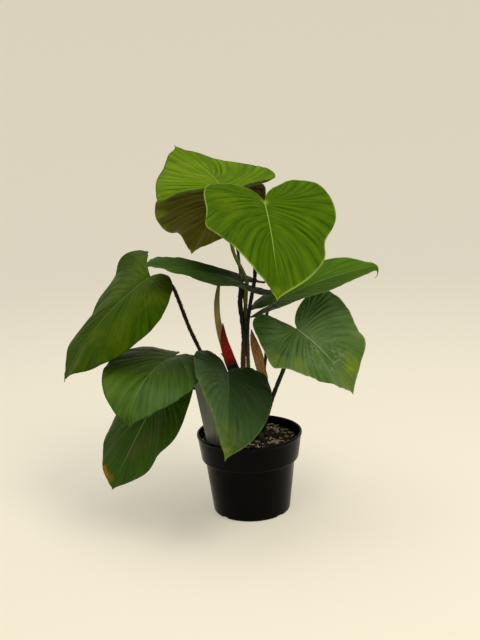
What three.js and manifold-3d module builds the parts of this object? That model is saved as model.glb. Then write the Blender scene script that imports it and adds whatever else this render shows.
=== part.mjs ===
// Potted philodendron: ten heart-shaped leaves on slender stalks, standing in a black nursery pot.
// Millimetres and degrees. +Z is up, the origin is the middle of the pot's base, +X is the viewer's
// right and +Y points away from the front.

import * as THREE from 'three';
import { mergeVertices } from 'three/addons/utils/BufferGeometryUtils.js';
import Module from 'manifold-3d';

const wasm = await Module();
wasm.setup();

// ---------------------------------------------------------------- driving dimensions

const GAP = 0.3;                 // clearance between neighbouring pieces

const POT_HEIGHT = 123;
const POT_RIM_RADIUS = 80;
const POT_FOOT_RADIUS = 59;
const POT_COLLAR_HEIGHT = 40;    // deep band under the rim
const POT_COLLAR_FOOT_RADIUS = 74;
const POT_BODY_TOP_RADIUS = 68.5;
const POT_WALL = 1.6;
const POT_FLOOR = 2.2;
const POT_LIP = 3.2;             // width of the rolled rim
const POT_ROUND = 1;             // rounding of the rim and of the step under the collar
const POT_FOOT_ROUND = 3;        // rounding between the base and the wall
const POT_RIM_BAND = 4;          // upright band at the top of the collar
const POT_SIDES = 44;
const DRAIN_COUNT = 4;
const DRAIN_WIDTH = 12;
const DRAIN_HEIGHT = 3;
const DRAIN_DEPTH = 8;           // reach of each drain slot through the wall and the base

const SOIL_TOP = 108;
const SOIL_LUMP = 2.2;           // height of the bark lumps above and below the soil line
const SOIL_EDGE_LUMP = 0.9;      // the same next to the pot's wall
const SOIL_RINGS = 6;
const SOIL_SEED = 11;

const LABEL_WIDTH = 34;
const LABEL_THICKNESS = 1;
const LABEL_TOP_LEFT = [-79, -34, 212];
const LABEL_FOOT_LEFT = [-59, -34, 92];
const LABEL_POINT = 14;          // length of the tapered foot
const LABEL_SHOULDER = 10;       // how far the taper draws in from each side

const BLADE_THICKNESS = 0.9;
const BLADE_VEINS = 17;          // cells from the notch round to the tip
const BLADE_ROWS = 4;            // cells from the midrib out to the margin

const STALK_SIDES = 6;
const STALK_STEPS = 13;
const STALK_UNDER = 6;           // how far a stalk runs on under its midrib
const STALK_TAPER = 0.8;         // a stalk's radius at the leaf, over its radius at the stem

// Half of a flat heart-shaped blade, from the notch round to the tip. The first number is the place
// along the midrib, over the length in front of the notch and over the lobe's depth behind it. The
// second is the distance from the midrib over the half width.
const HEART = [
  [0, 0], [-0.55, 0.10], [-0.93, 0.30], [-0.98, 0.56], [-0.55, 0.84], [0.04, 0.985], [0.22, 1],
  [0.42, 0.90], [0.62, 0.68], [0.80, 0.38], [0.915, 0.13], [0.965, 0.04], [1, 0],
];
const VEIN_FAN = 0.44;           // share of the veins that leave from the notch itself
const MIDRIB_REACH = 0.97;       // where the last vein leaves the midrib, over the length
const VEIN_CROWD = 1.25;         // over 1, the veins leave closer together near the notch
const VEIN_BEND = [0.30, 0.60];  // where a vein bends: shares of its way along and across
const WAVE_WIDTH = 0.055;        // width of one wave in the margin, over the half outline
const WAVE_FADE = 10;            // a wave dies out over these mm next to the midrib
const HOOK_START = 0.86;         // where the drip tip starts to curl, over the length

// Each leaf stands at `at`, the notch where its stalk ends. Heading is the way its tip points, from
// +X towards +Y; pitch is how far it points up; roll lifts its left side. Pairs are [left, right].
// `shoulder` under 1 carries the width towards the tip. Arch bends the midrib down, droop bends the
// lobes down, twist turns the tip, sweep carries it to the left, fold lifts each half from the
// midrib, cup bends each half on from there, and hook curls the drip tip down. A wave is
// [side, place along the outline, mm that the margin draws in, mm that it lifts].
// `notch` spreads the two lobes by that many mm more. `stalk` is the stalk's route from the stem named
// by `foot` up to the notch, and `stalkUnder` is how far it then follows the midrib, where it turns
// too sharply to follow it for STALK_UNDER.
const LEAVES = {
  top_front: {
    at: [33, -46, 472], heading: 279, pitch: -36, roll: -18, length: 180, half: [94, 94],
    lobe: [38, 21], shoulder: 0.85, arch: 10, droop: 5, twist: -15, sweep: -5, fold: [15, 10],
    cup: [20, -20], hook: 10, waves: [[-1, 0.59, -15, -3], [1, 0.57, 13, -2]],
    stalkUnder: 2, stalkRadius: 2.9, colour: 0x6f9a2a, foot: 'stem_main',
    stalk: [[2, -2.5, 205], [2.3, -3.5, 246], [3.2, -3.8, 284], [7, -2, 311], [13, 1, 339],
      [16.5, 3, 356], [18, 0, 376], [22, -14, 410], [29, -34, 450], [32, -44, 464]],
  },
  top_back: {
    at: [-24, 28, 484], heading: 98, pitch: 14, roll: 4, length: 174, half: [98, 81],
    lobe: [32, 40], shoulder: 1.15, arch: -15, droop: -40, twist: 5, sweep: 40, fold: [10, 10],
    cup: [-35, 15], hook: -5, waves: [[1, 0.66, 5, -6], [-1, 0.71, 0, -4]],
    stalkRadius: 3.0, colour: 0x86ab30, foot: 'stem_main',
    stalk: [[-5, 6.5, 205], [-3.5, 6, 248], [-1, 5, 280], [1, 3, 310], [3, 0.5, 335],
      [4.6, -0.2, 352], [-1, 4.5, 368], [-8, 9.8, 382], [-14, 15, 398], [-22, 22, 440], [-26, 26, 470]],
  },
  hanging_back: {
    at: [-29, 86, 481], heading: 110, pitch: -41, roll: 10, length: 168, half: [97, 76],
    lobe: [30, 29], shoulder: 0.95, arch: 0, droop: 60, twist: 5, sweep: 10, fold: [0, 15],
    cup: [-15, -20], hook: 10, waves: [[1, 0.76, 3, 16]],
    stalkUnder: 2, stalkRadius: 2.5, colour: 0x6d6a2c, foot: 'stem_main',
    stalk: [[1.8, 7.2, 205], [2.5, 8.5, 248], [3, 22, 290], [-1, 46, 330], [-5, 62, 362],
      [-8, 68, 396], [-18, 78, 440], [-26, 85, 468]],
  },
  left_narrow: {
    at: [-5, -3, 353], heading: 200, pitch: 24, roll: -6, length: 148, half: [64, 63],
    lobe: [40, 51], notch: 8, shoulder: 0.5, arch: 20, droop: -10, twist: 0, sweep: 0,
    fold: [10, 15], cup: [-25, -25], hook: 20, waves: [],
    stalkRadius: 3.7, colour: 0x4f7a36, foot: 'stem_main',
    stalk: [[-6.2, 1, 205], [-5, -5, 238], [-2.4, -10, 270], [-4.2, -8.5, 298],
      [-6.3, -6, 322], [-4, -3, 345]],
  },
  left_long: {
    at: [-137, 2, 365], heading: 173, pitch: -33, roll: -23, length: 214, half: [106, 95],
    lobe: [33, 1], shoulder: 0.9, arch: 25, droop: 15, twist: -5, sweep: 15, fold: [10, 20],
    cup: [-45, -45], hook: 15, waves: [[-1, 0.46, 0, 21], [-1, 0.66, 3, -12]],
    stalkRadius: 2.9, colour: 0x5a8430, foot: 'stem_main',
    stalk: [[-6, 4, 112], [-17, 4, 121], [-26, 3, 136], [-49, 2, 196], [-69, 2, 250],
      [-84, 3, 287], [-98, 4, 330], [-106, 5, 349], [-118, 5, 359], [-130, 3, 362]],
  },
  left_front: {
    at: [-105, -22, 250], heading: 234, pitch: -2, roll: 3, length: 156, half: [76, 77],
    lobe: [31, 34], shoulder: 0.65, arch: 50, droop: 30, twist: -5, sweep: 15, fold: [0, 10],
    cup: [-20, -5], hook: 40, waves: [],
    stalkRadius: 2.7, colour: 0x4f7a38, foot: 'stem_main',
    stalk: [[-5, 0, 120], [-13, -2, 129], [-38, -7, 176], [-72, -14, 221], [-92, -18, 239],
      [-99, -20, 244]],
  },
  centre_front: {
    at: [-28, -56, 231], heading: 273, pitch: -21, roll: -31, length: 158, half: [66, 59],
    lobe: [19, 35], shoulder: 0.9, arch: 25, droop: 5, twist: -25, sweep: 5, fold: [15, 10],
    cup: [-5, -15], hook: 10, waves: [],
    stalkRadius: 2.7, colour: 0x47703c, foot: 'stem_main',
    stalk: [[-2, -1, 110], [-5, -7, 120], [-13, -15, 154], [-22, -28, 190], [-27, -44, 219],
      [-28, -52, 226]],
  },
  right_front: {
    at: [76, -15, 281], heading: 344, pitch: -35, roll: 22, length: 130, half: [90, 86],
    lobe: [19, 57], shoulder: 1.05, arch: 30, droop: 0, twist: -10, sweep: -5, fold: [25, 15],
    cup: [-10, -25], hook: 20, waves: [[1, 0.69, -4, 12], [-1, 0.42, -5, -12]],
    stalkUnder: 2, stalkRadius: 3.5, colour: 0x54803c, foot: 'stem_side',
    stalk: [[16, 6, 116], [23, 4, 128], [35, 0, 168], [44, -2, 192], [54, -4, 216],
      [65, -7, 245], [73, -12, 270]],
  },
  right_back: {
    at: [39, 20, 313], heading: -2, pitch: 29, roll: 13, length: 186, half: [65, 61],
    lobe: [36, 33], shoulder: 1.1, arch: 25, droop: 0, twist: 25, sweep: 0, fold: [10, 15],
    cup: [-30, 0], hook: 150, waves: [[1, 0.78, 4, 0]],
    stalkRadius: 2.6, colour: 0x55803a, foot: 'stem_side',
    stalk: [[17.5, 8.5, 130], [20, 8, 169], [26, 9, 215], [30, 12, 242], [32, 15, 268],
      [33, 19, 297], [36, 22, 306]],
  },
  low_left: {
    at: [-130, -5, 196], heading: 225, pitch: -49, roll: -11, length: 168, half: [69, 70],
    lobe: [32, 24], shoulder: 0.65, arch: 25, droop: 5, twist: -10, sweep: -15, fold: [10, 5],
    cup: [-5, -45], hook: 10, waves: [[1, 0.58, 8, 5]],
    stalkRadius: 2.6, colour: 0x446c34, foot: 'stem_main',
    stalk: [[-4, 8, 108], [-14, 12, 120], [-42, 14, 166], [-70, 8, 187], [-98, 3, 195],
      [-115, 2, 196], [-123, 0, 195]],
  },
};

// Short woody stems that the stalks leave from. `radii` has one value for each point.
const STEMS = {
  stem_main: {
    points: [[-2, 4, 94], [-2, 4, 130], [-2, 3.5, 170], [-1.5, 2.5, 212]],
    radii: [8.5, 8.8, 8.4, 8.6],
  },
  stem_side: {
    points: [[15, 6, 96], [15.5, 6.5, 118], [16, 7, 139]],
    radii: [6.2, 6.3, 5.8],
  },
};
const STEM_SIDES = 12;
const STEM_STEPS = 8;

// Papery sheaths that wrapped the young leaves. Each is a thin flattened spike with one half width
// and one half thickness at every point, from its foot up to its tip.
const SHEATHS = {
  sheath_tan: {
    foot: 'stem_main', colour: 0xb39a6a,
    points: [[-8, 3, 198], [-18, 2, 212], [-28, 0, 233], [-34, 1, 258], [-38.7, 2, 281],
      [-41, 2, 304], [-40.5, 3, 326], [-36.7, 3, 350]],
    widths: [4.6, 4.8, 4.6, 4.8, 4.8, 4.4, 3.7, 2.0],
    thicknesses: [1.4, 1.2, 1.0, 0.9, 0.9, 0.9, 0.8, 0.4],
  },
  sheath_red: {
    foot: 'stem_main', colour: 0x9c2a1e,
    points: [[-8, -4, 204], [-15.5, -8.5, 213], [-21.5, -9.5, 226], [-28, -9.5, 248],
      [-31.8, -9, 267], [-33, -9, 293]],
    widths: [8.0, 8.6, 8.6, 7.7, 5.2, 0.5],
    thicknesses: [1.6, 1.5, 1.5, 1.4, 1.1, 0.4],
  },
  sheath_brown: {
    foot: 'stem_side', colour: 0x8a6238,
    points: [[14.5, 2, 130], [17, -1.5, 150], [22, -5, 182], [24.5, -6, 205], [21, -7, 221],
      [17, -8, 242], [12, -8.5, 262], [8.5, -9, 282]],
    widths: [5.0, 5.4, 5.8, 6.2, 6.8, 7.4, 5.4, 0.6],
    thicknesses: [1.3, 1.3, 1.3, 1.3, 1.2, 1.1, 1.0, 0.4],
  },
};
const SHEATH_SIDES = 8;
const SHEATH_STEPS = 14;

// Dry stub of an aerial root on the main stem.
const AERIAL_ROOT = {
  foot: 'stem_main',
  points: [[-6, 6, 196], [-16, 8, 212], [-28, 7, 230], [-38, 6, 244]],
  radii: [1.9, 1.7, 1.5, 0.8],
};

const LOOKS = {
  pot: { colour: 0x101011, roughness: 0.35 },
  soil: { colour: 0x2c211a, roughness: 0.95 },
  label: { colour: 0xa9a8a4, roughness: 0.5 },
  stem: { colour: 0x4a4a2a, roughness: 0.7 },
  root: { colour: 0x2a1f18, roughness: 0.9 },
  stalk: { colour: 0x35391f, roughness: 0.6 },
};
const SHEATH_ROUGHNESS = 0.7;
const BLADE_ROUGHNESS = 0.45;

// ---------------------------------------------------------------- small maths

const radians = THREE.MathUtils.degToRad;

/** Repeatable random numbers from 0 to 1. */
function seededRandom(seed) {
  let state = seed;
  return () => {
    state = (state * 1664525 + 1013904223) % 4294967296;
    return state / 4294967296;
  };
}

/** Point on a Catmull-Rom curve through rows of numbers, with t from 0 to 1. */
function curvePoint(rows, t) {
  const spans = rows.length - 1;
  const span = Math.min(Math.floor(t * spans), spans - 1);
  const s = t * spans - span;
  const before = rows[Math.max(span - 1, 0)];
  const from = rows[span];
  const to = rows[span + 1];
  const after = rows[Math.min(span + 2, spans)];
  return from.map((p1, k) => {
    const p0 = before[k];
    const p2 = to[k];
    const p3 = after[k];
    return 0.5 * (2 * p1 + (p2 - p0) * s + (2 * p0 - 5 * p1 + 4 * p2 - p3) * s * s
      + (3 * p1 - p0 - 3 * p2 + p3) * s * s * s);
  });
}

// ---------------------------------------------------------------- solids from vertices and faces

/** Geometry from a list of points and triangles, turned inside out if its faces point in. */
function closedGeometry(points, triangles) {
  let volume = 0;
  for (const [a, b, c] of triangles) {
    volume += points[a].dot(points[b].clone().cross(points[c]));
  }
  const index = volume < 0 ? triangles.flatMap(([a, b, c]) => [a, c, b]) : triangles.flat();
  const geometry = new THREE.BufferGeometry();
  geometry.setAttribute('position',
    new THREE.Float32BufferAttribute(points.flatMap((p) => [p.x, p.y, p.z]), 3));
  geometry.setIndex(index);
  geometry.computeVertexNormals();
  return geometry;
}

/** Manifold solid of a closed geometry. */
function toManifold(geometry) {
  const bare = geometry.clone();
  for (const name of Object.keys(bare.attributes)) {
    if (name !== 'position') bare.deleteAttribute(name);
  }
  const merged = mergeVertices(bare, 1e-4);
  return new wasm.Manifold(new wasm.Mesh({
    numProp: 3,
    vertProperties: new Float32Array(merged.attributes.position.array),
    triVerts: new Uint32Array(merged.index.array),
  }));
}

/** Geometry of a manifold solid. */
function fromManifold(solid) {
  const mesh = solid.getMesh();
  const geometry = new THREE.BufferGeometry();
  geometry.setAttribute('position', new THREE.BufferAttribute(mesh.vertProperties, 3));
  geometry.setIndex(new THREE.BufferAttribute(mesh.triVerts, 1));
  geometry.computeVertexNormals();
  return geometry;
}

/** What is left of a geometry once the others are cut out of it. */
function cutBy(geometry, cutters) {
  let solid = toManifold(geometry);
  for (const cutter of cutters) solid = solid.subtract(toManifold(cutter));
  return fromManifold(solid);
}

// ---------------------------------------------------------------- stalks, stems and sheaths

/**
 * Closed spike or rod along a route. `halfSizes(t)` gives its half width and half thickness, and
 * the thickness is measured along `facing` where that is given.
 */
function rod(route, halfSizes, sides, steps, facing) {
  const centres = [];
  for (let i = 0; i <= steps; i += 1) {
    centres.push(new THREE.Vector3(...curvePoint(route, i / steps)));
  }
  let normal = facing ? facing.clone() : new THREE.Vector3(0, 1, 0);
  const points = [];
  centres.forEach((centre, i) => {
    const ahead = centres[Math.min(i + 1, steps)];
    const behind = centres[Math.max(i - 1, 0)];
    const along = ahead.clone().sub(behind).normalize();
    normal = (facing ?? normal).clone().projectOnPlane(along).normalize();
    const across = along.clone().cross(normal);
    const [wide, thick] = halfSizes(i / steps);
    for (let k = 0; k < sides; k += 1) {
      const angle = (2 * Math.PI * k) / sides;
      points.push(centre.clone()
        .addScaledVector(across, wide * Math.cos(angle))
        .addScaledVector(normal, thick * Math.sin(angle)));
    }
  });
  const triangles = [];
  for (let i = 0; i < steps; i += 1) {
    for (let k = 0; k < sides; k += 1) {
      const a = i * sides + k;
      const b = i * sides + ((k + 1) % sides);
      triangles.push([a, b, b + sides], [a, b + sides, a + sides]);
    }
  }
  const last = steps * sides;
  for (let k = 1; k < sides - 1; k += 1) {
    triangles.push([0, k + 1, k], [last, last + k, last + k + 1]);
  }
  return closedGeometry(points, triangles);
}

/** Round stem, or the hole it stands in when `extra` widens it. */
function stemGeometry(stem, extra = 0) {
  const radii = stem.radii.map((r) => [r + extra]);
  const sizes = (t) => {
    const [r] = curvePoint(radii, t);
    return [r, r];
  };
  const end = stem.points.length - 1;
  const points = stem.points.map(([x, y, z], i) => {
    if (i === end) return [x, y, z + extra];
    if (i === 0) return [x, y, z - extra];
    return [x, y, z];
  });
  return rod(points, sizes, STEM_SIDES, STEM_STEPS);
}

function sheathGeometry(sheath) {
  const sizes = sheath.widths.map((w, i) => [w, sheath.thicknesses[i]]);
  const towardsFront = new THREE.Vector3(0, -1, 0);
  return rod(sheath.points, (t) => curvePoint(sizes, t), SHEATH_SIDES, SHEATH_STEPS, towardsFront);
}

function aerialRootGeometry() {
  const radii = AERIAL_ROOT.radii.map((r) => [r, r]);
  return rod(AERIAL_ROOT.points, (t) => curvePoint(radii, t), STALK_SIDES, STALK_STEPS);
}

// ---------------------------------------------------------------- leaf blades

/** Margin of one half of a flat blade, at u from 0 at the notch to 1 at the tip. */
function marginPoint(leaf, side, u) {
  const half = leaf.half[side > 0 ? 0 : 1];
  const lobe = leaf.lobe[side > 0 ? 0 : 1];
  const notch = leaf.notch ?? 0;
  const outline = HEART.map(([along, across], i) => {
    const widened = i === 1 ? notch : (i === 2 ? notch / 2 : 0);
    const x = along < 0 ? along * lobe : (along ** leaf.shoulder) * leaf.length;
    return [x, across * half + widened];
  });
  const [x, y] = curvePoint(outline, u);
  const drawnIn = leaf.waves
    .filter(([waveSide]) => waveSide === side)
    .reduce((sum, [, at, inward]) => sum + inward * Math.exp(-(((u - at) / WAVE_WIDTH) ** 2)), 0);
  return [x, y - drawnIn * THREE.MathUtils.clamp(y / WAVE_FADE, 0, 1)];
}

/** Flat place of the point at share v along vein u: a vein curves out from the midrib. */
function veinPoint(leaf, side, u, v) {
  const place = Math.max(u - VEIN_FAN, 0) / (1 - VEIN_FAN);
  const start = MIDRIB_REACH * leaf.length * place ** VEIN_CROWD;
  const [endX, endY] = marginPoint(leaf, side, u);
  const bendX = start + VEIN_BEND[0] * (endX - start);
  const bendY = VEIN_BEND[1] * endY;
  const w = 1 - v;
  return [w * w * start + 2 * w * v * bendX + v * v * endX, 2 * w * v * bendY + v * v * endY];
}

function waveLift(leaf, side, u, v) {
  return leaf.waves
    .filter(([waveSide]) => waveSide === side)
    .reduce((sum, [, at, , lift]) => sum + lift * Math.exp(-(((u - at) / WAVE_WIDTH) ** 2)), 0)
    * v * v;
}

/** Arc of a line of length s that starts at angle `from` and bends by `rate` for each mm. */
function arc(s, from, rate) {
  if (Math.abs(rate) < 1e-9) return [s * Math.cos(from), s * Math.sin(from)];
  return [(Math.sin(from + rate * s) - Math.sin(from)) / rate,
    (Math.cos(from) - Math.cos(from + rate * s)) / rate];
}

/** Place in the plant of a blade's flat point (x along the midrib, y to its left). */
function bladePoint(leaf, x, y, lift = 0) {
  const lobe = (leaf.lobe[0] + leaf.lobe[1]) / 2;
  const left = y >= 0;
  const bendRate = x >= 0 ? -radians(leaf.arch) / leaf.length : -radians(leaf.droop) / lobe;
  const hookStart = HOOK_START * leaf.length;
  const hookRate = bendRate - radians(leaf.hook) / (leaf.length - hookStart);
  const straight = Math.min(Math.abs(x), hookStart);
  const hooked = Math.max(x - hookStart, 0);
  const [alongArc, upArc] = arc(straight, 0, bendRate);
  const [alongHook, upHook] = arc(hooked, bendRate * straight, hookRate);
  const slope = (x >= 0 ? 1 : -1) * (bendRate * straight + hookRate * hooked);
  const fold = radians(leaf.fold[left ? 0 : 1]);
  const cupRate = radians(leaf.cup[left ? 0 : 1]) / leaf.half[left ? 0 : 1];
  const [acrossArc, liftArc] = arc(Math.abs(y), fold, cupRate);
  const across = left ? acrossArc : -acrossArc;
  const twist = radians(leaf.twist) * (x / leaf.length);
  const sideways = across * Math.cos(twist) - liftArc * Math.sin(twist);
  const raised = across * Math.sin(twist) + liftArc * Math.cos(twist) + lift;
  const localX = (x >= 0 ? alongArc + alongHook : -alongArc) - raised * Math.sin(slope);
  const localZ = upArc + upHook + raised * Math.cos(slope);
  const localY = sideways + (x > 0 ? 0.5 * (radians(leaf.sweep) / leaf.length) * x * x : 0);
  return new THREE.Vector3(...leaf.at)
    .add(new THREE.Vector3(localX, localY, localZ).applyMatrix4(leafTurn(leaf)));
}

/** Turn from a leaf's own axes (tip, left, up) to the plant's. */
function leafTurn(leaf) {
  return new THREE.Matrix4().makeRotationZ(radians(leaf.heading))
    .multiply(new THREE.Matrix4().makeRotationY(-radians(leaf.pitch)))
    .multiply(new THREE.Matrix4().makeRotationX(radians(leaf.roll)));
}

/** Thin closed blade: the same triangles on its upper and lower face, joined round the margin. */
function bladeGeometry(leaf) {
  const middle = [];
  const known = new Map();
  const vertex = (side, i, j) => {
    const u = i / BLADE_VEINS;
    const v = j / BLADE_ROWS;
    const [x, y] = veinPoint(leaf, side, u, v);
    const key = `${x.toFixed(3)},${(side * y).toFixed(3)}`;
    if (!known.has(key)) {
      known.set(key, middle.length);
      middle.push(bladePoint(leaf, x, side * y, waveLift(leaf, side, u, v)));
    }
    return known.get(key);
  };
  const triangles = [];
  const add = (side, a, b, c) => {
    if (a === b || b === c || a === c) return;
    triangles.push(side > 0 ? [a, b, c] : [a, c, b]);
  };
  for (const side of [1, -1]) {
    for (let i = 0; i < BLADE_VEINS; i += 1) {
      for (let j = 0; j < BLADE_ROWS; j += 1) {
        const corners = [vertex(side, i, j), vertex(side, i + 1, j),
          vertex(side, i + 1, j + 1), vertex(side, i, j + 1)];
        add(side, corners[0], corners[1], corners[2]);
        add(side, corners[0], corners[2], corners[3]);
      }
    }
  }
  return thickened(middle, triangles, BLADE_THICKNESS);
}

/** Closed solid of even thickness round an open surface. */
function thickened(middle, triangles, thickness) {
  const normals = middle.map(() => new THREE.Vector3());
  for (const [a, b, c] of triangles) {
    const normal = middle[b].clone().sub(middle[a]).cross(middle[c].clone().sub(middle[a]));
    for (const corner of [a, b, c]) normals[corner].add(normal);
  }
  const offset = (sign) => middle.map((p, i) => p.clone()
    .addScaledVector(normals[i].clone().normalize(), (sign * thickness) / 2));
  const count = middle.length;
  const points = [...offset(1), ...offset(-1)];
  const faces = triangles.flatMap(([a, b, c]) => [[a, b, c], [a + count, c + count, b + count]]);
  const edges = new Set(triangles.flatMap(([a, b, c]) => [`${a},${b}`, `${b},${c}`, `${c},${a}`]));
  for (const edge of edges) {
    const [a, b] = edge.split(',').map(Number);
    if (!edges.has(`${b},${a}`)) {
      faces.push([b, a, a + count], [b, a + count, b + count]);
    }
  }
  return closedGeometry(points, faces);
}

/** Stalk of a leaf: from its stem, up to the notch, and on under the midrib. */
function stalkGeometry(leaf) {
  const step = 0.5;
  const underside = (x) => {
    const here = bladePoint(leaf, x, 0);
    const ahead = bladePoint(leaf, x + step, 0).sub(here);
    const aside = bladePoint(leaf, x, step).sub(bladePoint(leaf, x, -step));
    const depth = BLADE_THICKNESS / 2 + leaf.stalkRadius * STALK_TAPER + 2 * GAP;
    return here.addScaledVector(ahead.cross(aside).normalize(), -depth).toArray();
  };
  const route = [...leaf.stalk, underside(0), underside(leaf.stalkUnder ?? STALK_UNDER)];
  const sizes = (t) => {
    const r = leaf.stalkRadius * (1 - (1 - STALK_TAPER) * t);
    return [r, r];
  };
  return rod(route, sizes, STALK_SIDES, STALK_STEPS);
}

// ---------------------------------------------------------------- pot, soil and label

/** Inner corners of the pot's wall, from the rim down to the floor. */
function potInside() {
  const collarFoot = POT_HEIGHT - POT_COLLAR_HEIGHT;
  return [
    [POT_RIM_RADIUS - POT_LIP, POT_HEIGHT - POT_ROUND],
    [POT_COLLAR_FOOT_RADIUS - POT_WALL, collarFoot + 2 * POT_ROUND],
    [POT_BODY_TOP_RADIUS - POT_WALL, collarFoot],
    [POT_FOOT_RADIUS - POT_WALL, POT_FLOOR + POT_ROUND],
    [POT_FOOT_RADIUS - POT_WALL - POT_ROUND, POT_FLOOR],
  ];
}

/** Closed profile of the pot, from the axis out under its foot, up, over the rim and back in. */
function potProfile() {
  const collarFoot = POT_HEIGHT - POT_COLLAR_HEIGHT;
  return [
    [0, 0],
    [POT_FOOT_RADIUS - POT_FOOT_ROUND, 0],
    [POT_FOOT_RADIUS - POT_FOOT_ROUND / 4, POT_FOOT_ROUND / 4],
    [POT_FOOT_RADIUS, POT_FOOT_ROUND],
    [POT_BODY_TOP_RADIUS, collarFoot - POT_ROUND],
    [POT_COLLAR_FOOT_RADIUS - POT_ROUND, collarFoot - POT_ROUND / 2],
    [POT_COLLAR_FOOT_RADIUS, collarFoot + POT_ROUND],
    [POT_RIM_RADIUS - POT_ROUND, POT_HEIGHT - POT_RIM_BAND - POT_ROUND],
    [POT_RIM_RADIUS, POT_HEIGHT - POT_RIM_BAND],
    [POT_RIM_RADIUS, POT_HEIGHT - POT_ROUND],
    [POT_RIM_RADIUS - POT_ROUND, POT_HEIGHT],
    [POT_RIM_RADIUS - POT_LIP + POT_ROUND, POT_HEIGHT],
    ...potInside(),
    [0, POT_FLOOR],
  ];
}

function potGeometry() {
  const profile = potProfile().map(([r, z]) => new THREE.Vector2(r, z));
  const shell = new THREE.LatheGeometry(profile, POT_SIDES).rotateX(Math.PI / 2);
  const positions = shell.attributes.position;
  const points = [];
  for (let i = 0; i < positions.count; i += 1) {
    points.push(new THREE.Vector3().fromBufferAttribute(positions, i));
  }
  const triangles = [];
  for (let i = 0; i < shell.index.count; i += 3) {
    triangles.push([0, 1, 2].map((k) => shell.index.getX(i + k)));
  }
  const turned = closedGeometry(points, triangles);
  const drains = [];
  for (let i = 0; i < DRAIN_COUNT; i += 1) {
    const drain = new THREE.BoxGeometry(DRAIN_DEPTH, DRAIN_WIDTH, DRAIN_HEIGHT * 2);
    drain.translate(POT_FOOT_RADIUS, 0, 0);
    drain.rotateZ((2 * Math.PI * (i + 0.5)) / DRAIN_COUNT);
    drains.push(drain);
  }
  return cutBy(turned, drains);
}

/** Potting mix: it fills the pot with a small gap, and its top is lumpy with bark. */
function soilGeometry() {
  const random = seededRandom(SOIL_SEED);
  const inside = potInside();
  const [[lip, lipHeight], [collar, collarHeight]] = inside;
  const wall = THREE.MathUtils.mapLinear(SOIL_TOP, collarHeight, lipHeight, collar, lip);
  const edge = wall - 2 * GAP;
  const rings = inside.slice(1).reverse().map(([radius, height]) => [radius - GAP, height + GAP]);
  const points = [new THREE.Vector3(0, 0, POT_FLOOR + GAP)];
  const addRing = (radius, height) => {
    for (let k = 0; k < POT_SIDES; k += 1) {
      const angle = (2 * Math.PI * k) / POT_SIDES;
      points.push(new THREE.Vector3(radius * Math.cos(angle), radius * Math.sin(angle), height()));
    }
  };
  for (const [radius, height] of rings) addRing(radius, () => height);
  for (let i = 0; i < SOIL_RINGS; i += 1) {
    const lump = i === 0 ? SOIL_EDGE_LUMP : SOIL_LUMP;
    addRing(edge * (1 - i / SOIL_RINGS), () => SOIL_TOP + lump * (2 * random() - 1));
  }
  points.push(new THREE.Vector3(0, 0, SOIL_TOP));
  const ringCount = rings.length + SOIL_RINGS;
  const triangles = [];
  for (let k = 0; k < POT_SIDES; k += 1) {
    const next = (k + 1) % POT_SIDES;
    triangles.push([0, 1 + next, 1 + k]);
    for (let i = 0; i < ringCount - 1; i += 1) {
      const low = 1 + i * POT_SIDES;
      const high = low + POT_SIDES;
      triangles.push([low + k, low + next, high + next], [low + k, high + next, high + k]);
    }
    const top = 1 + (ringCount - 1) * POT_SIDES;
    triangles.push([top + k, top + next, points.length - 1]);
  }
  return closedGeometry(points, triangles);
}

/** Flat plastic label with a tapered foot, or the slot it stands in when `extra` widens it. */
function labelGeometry(extra = 0) {
  const top = new THREE.Vector3(...LABEL_TOP_LEFT);
  const foot = new THREE.Vector3(...LABEL_FOOT_LEFT);
  const up = top.clone().sub(foot);
  const height = up.length();
  up.normalize();
  const front = new THREE.Vector3(0, -1, 0);
  const right = up.clone().cross(front);
  const outline = new THREE.Shape([
    new THREE.Vector2(-extra, height + extra),
    new THREE.Vector2(-extra, LABEL_POINT),
    new THREE.Vector2(LABEL_SHOULDER - extra, -extra),
    new THREE.Vector2(LABEL_WIDTH - LABEL_SHOULDER + extra, -extra),
    new THREE.Vector2(LABEL_WIDTH + extra, LABEL_POINT),
    new THREE.Vector2(LABEL_WIDTH + extra, height + extra),
  ]);
  const depth = LABEL_THICKNESS + 2 * extra;
  const plate = new THREE.ExtrudeGeometry(outline, { depth, bevelEnabled: false });
  plate.translate(0, 0, -depth / 2);
  plate.applyMatrix4(new THREE.Matrix4().makeBasis(right, up, right.clone().cross(up)));
  plate.translate(foot.x, foot.y, foot.z);
  return plate;
}

// ---------------------------------------------------------------- the plant

const plant = new THREE.Group();

function addPiece(name, geometry, { colour, roughness }) {
  const material = new THREE.MeshStandardMaterial({ color: colour, roughness, metalness: 0 });
  const mesh = new THREE.Mesh(geometry, material);
  mesh.name = name;
  plant.add(mesh);
}

const stemHoles = Object.fromEntries(
  Object.entries(STEMS).map(([name, stem]) => [name, stemGeometry(stem, GAP)]));
const soilHoles = [...Object.values(stemHoles), labelGeometry(GAP)];

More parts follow.
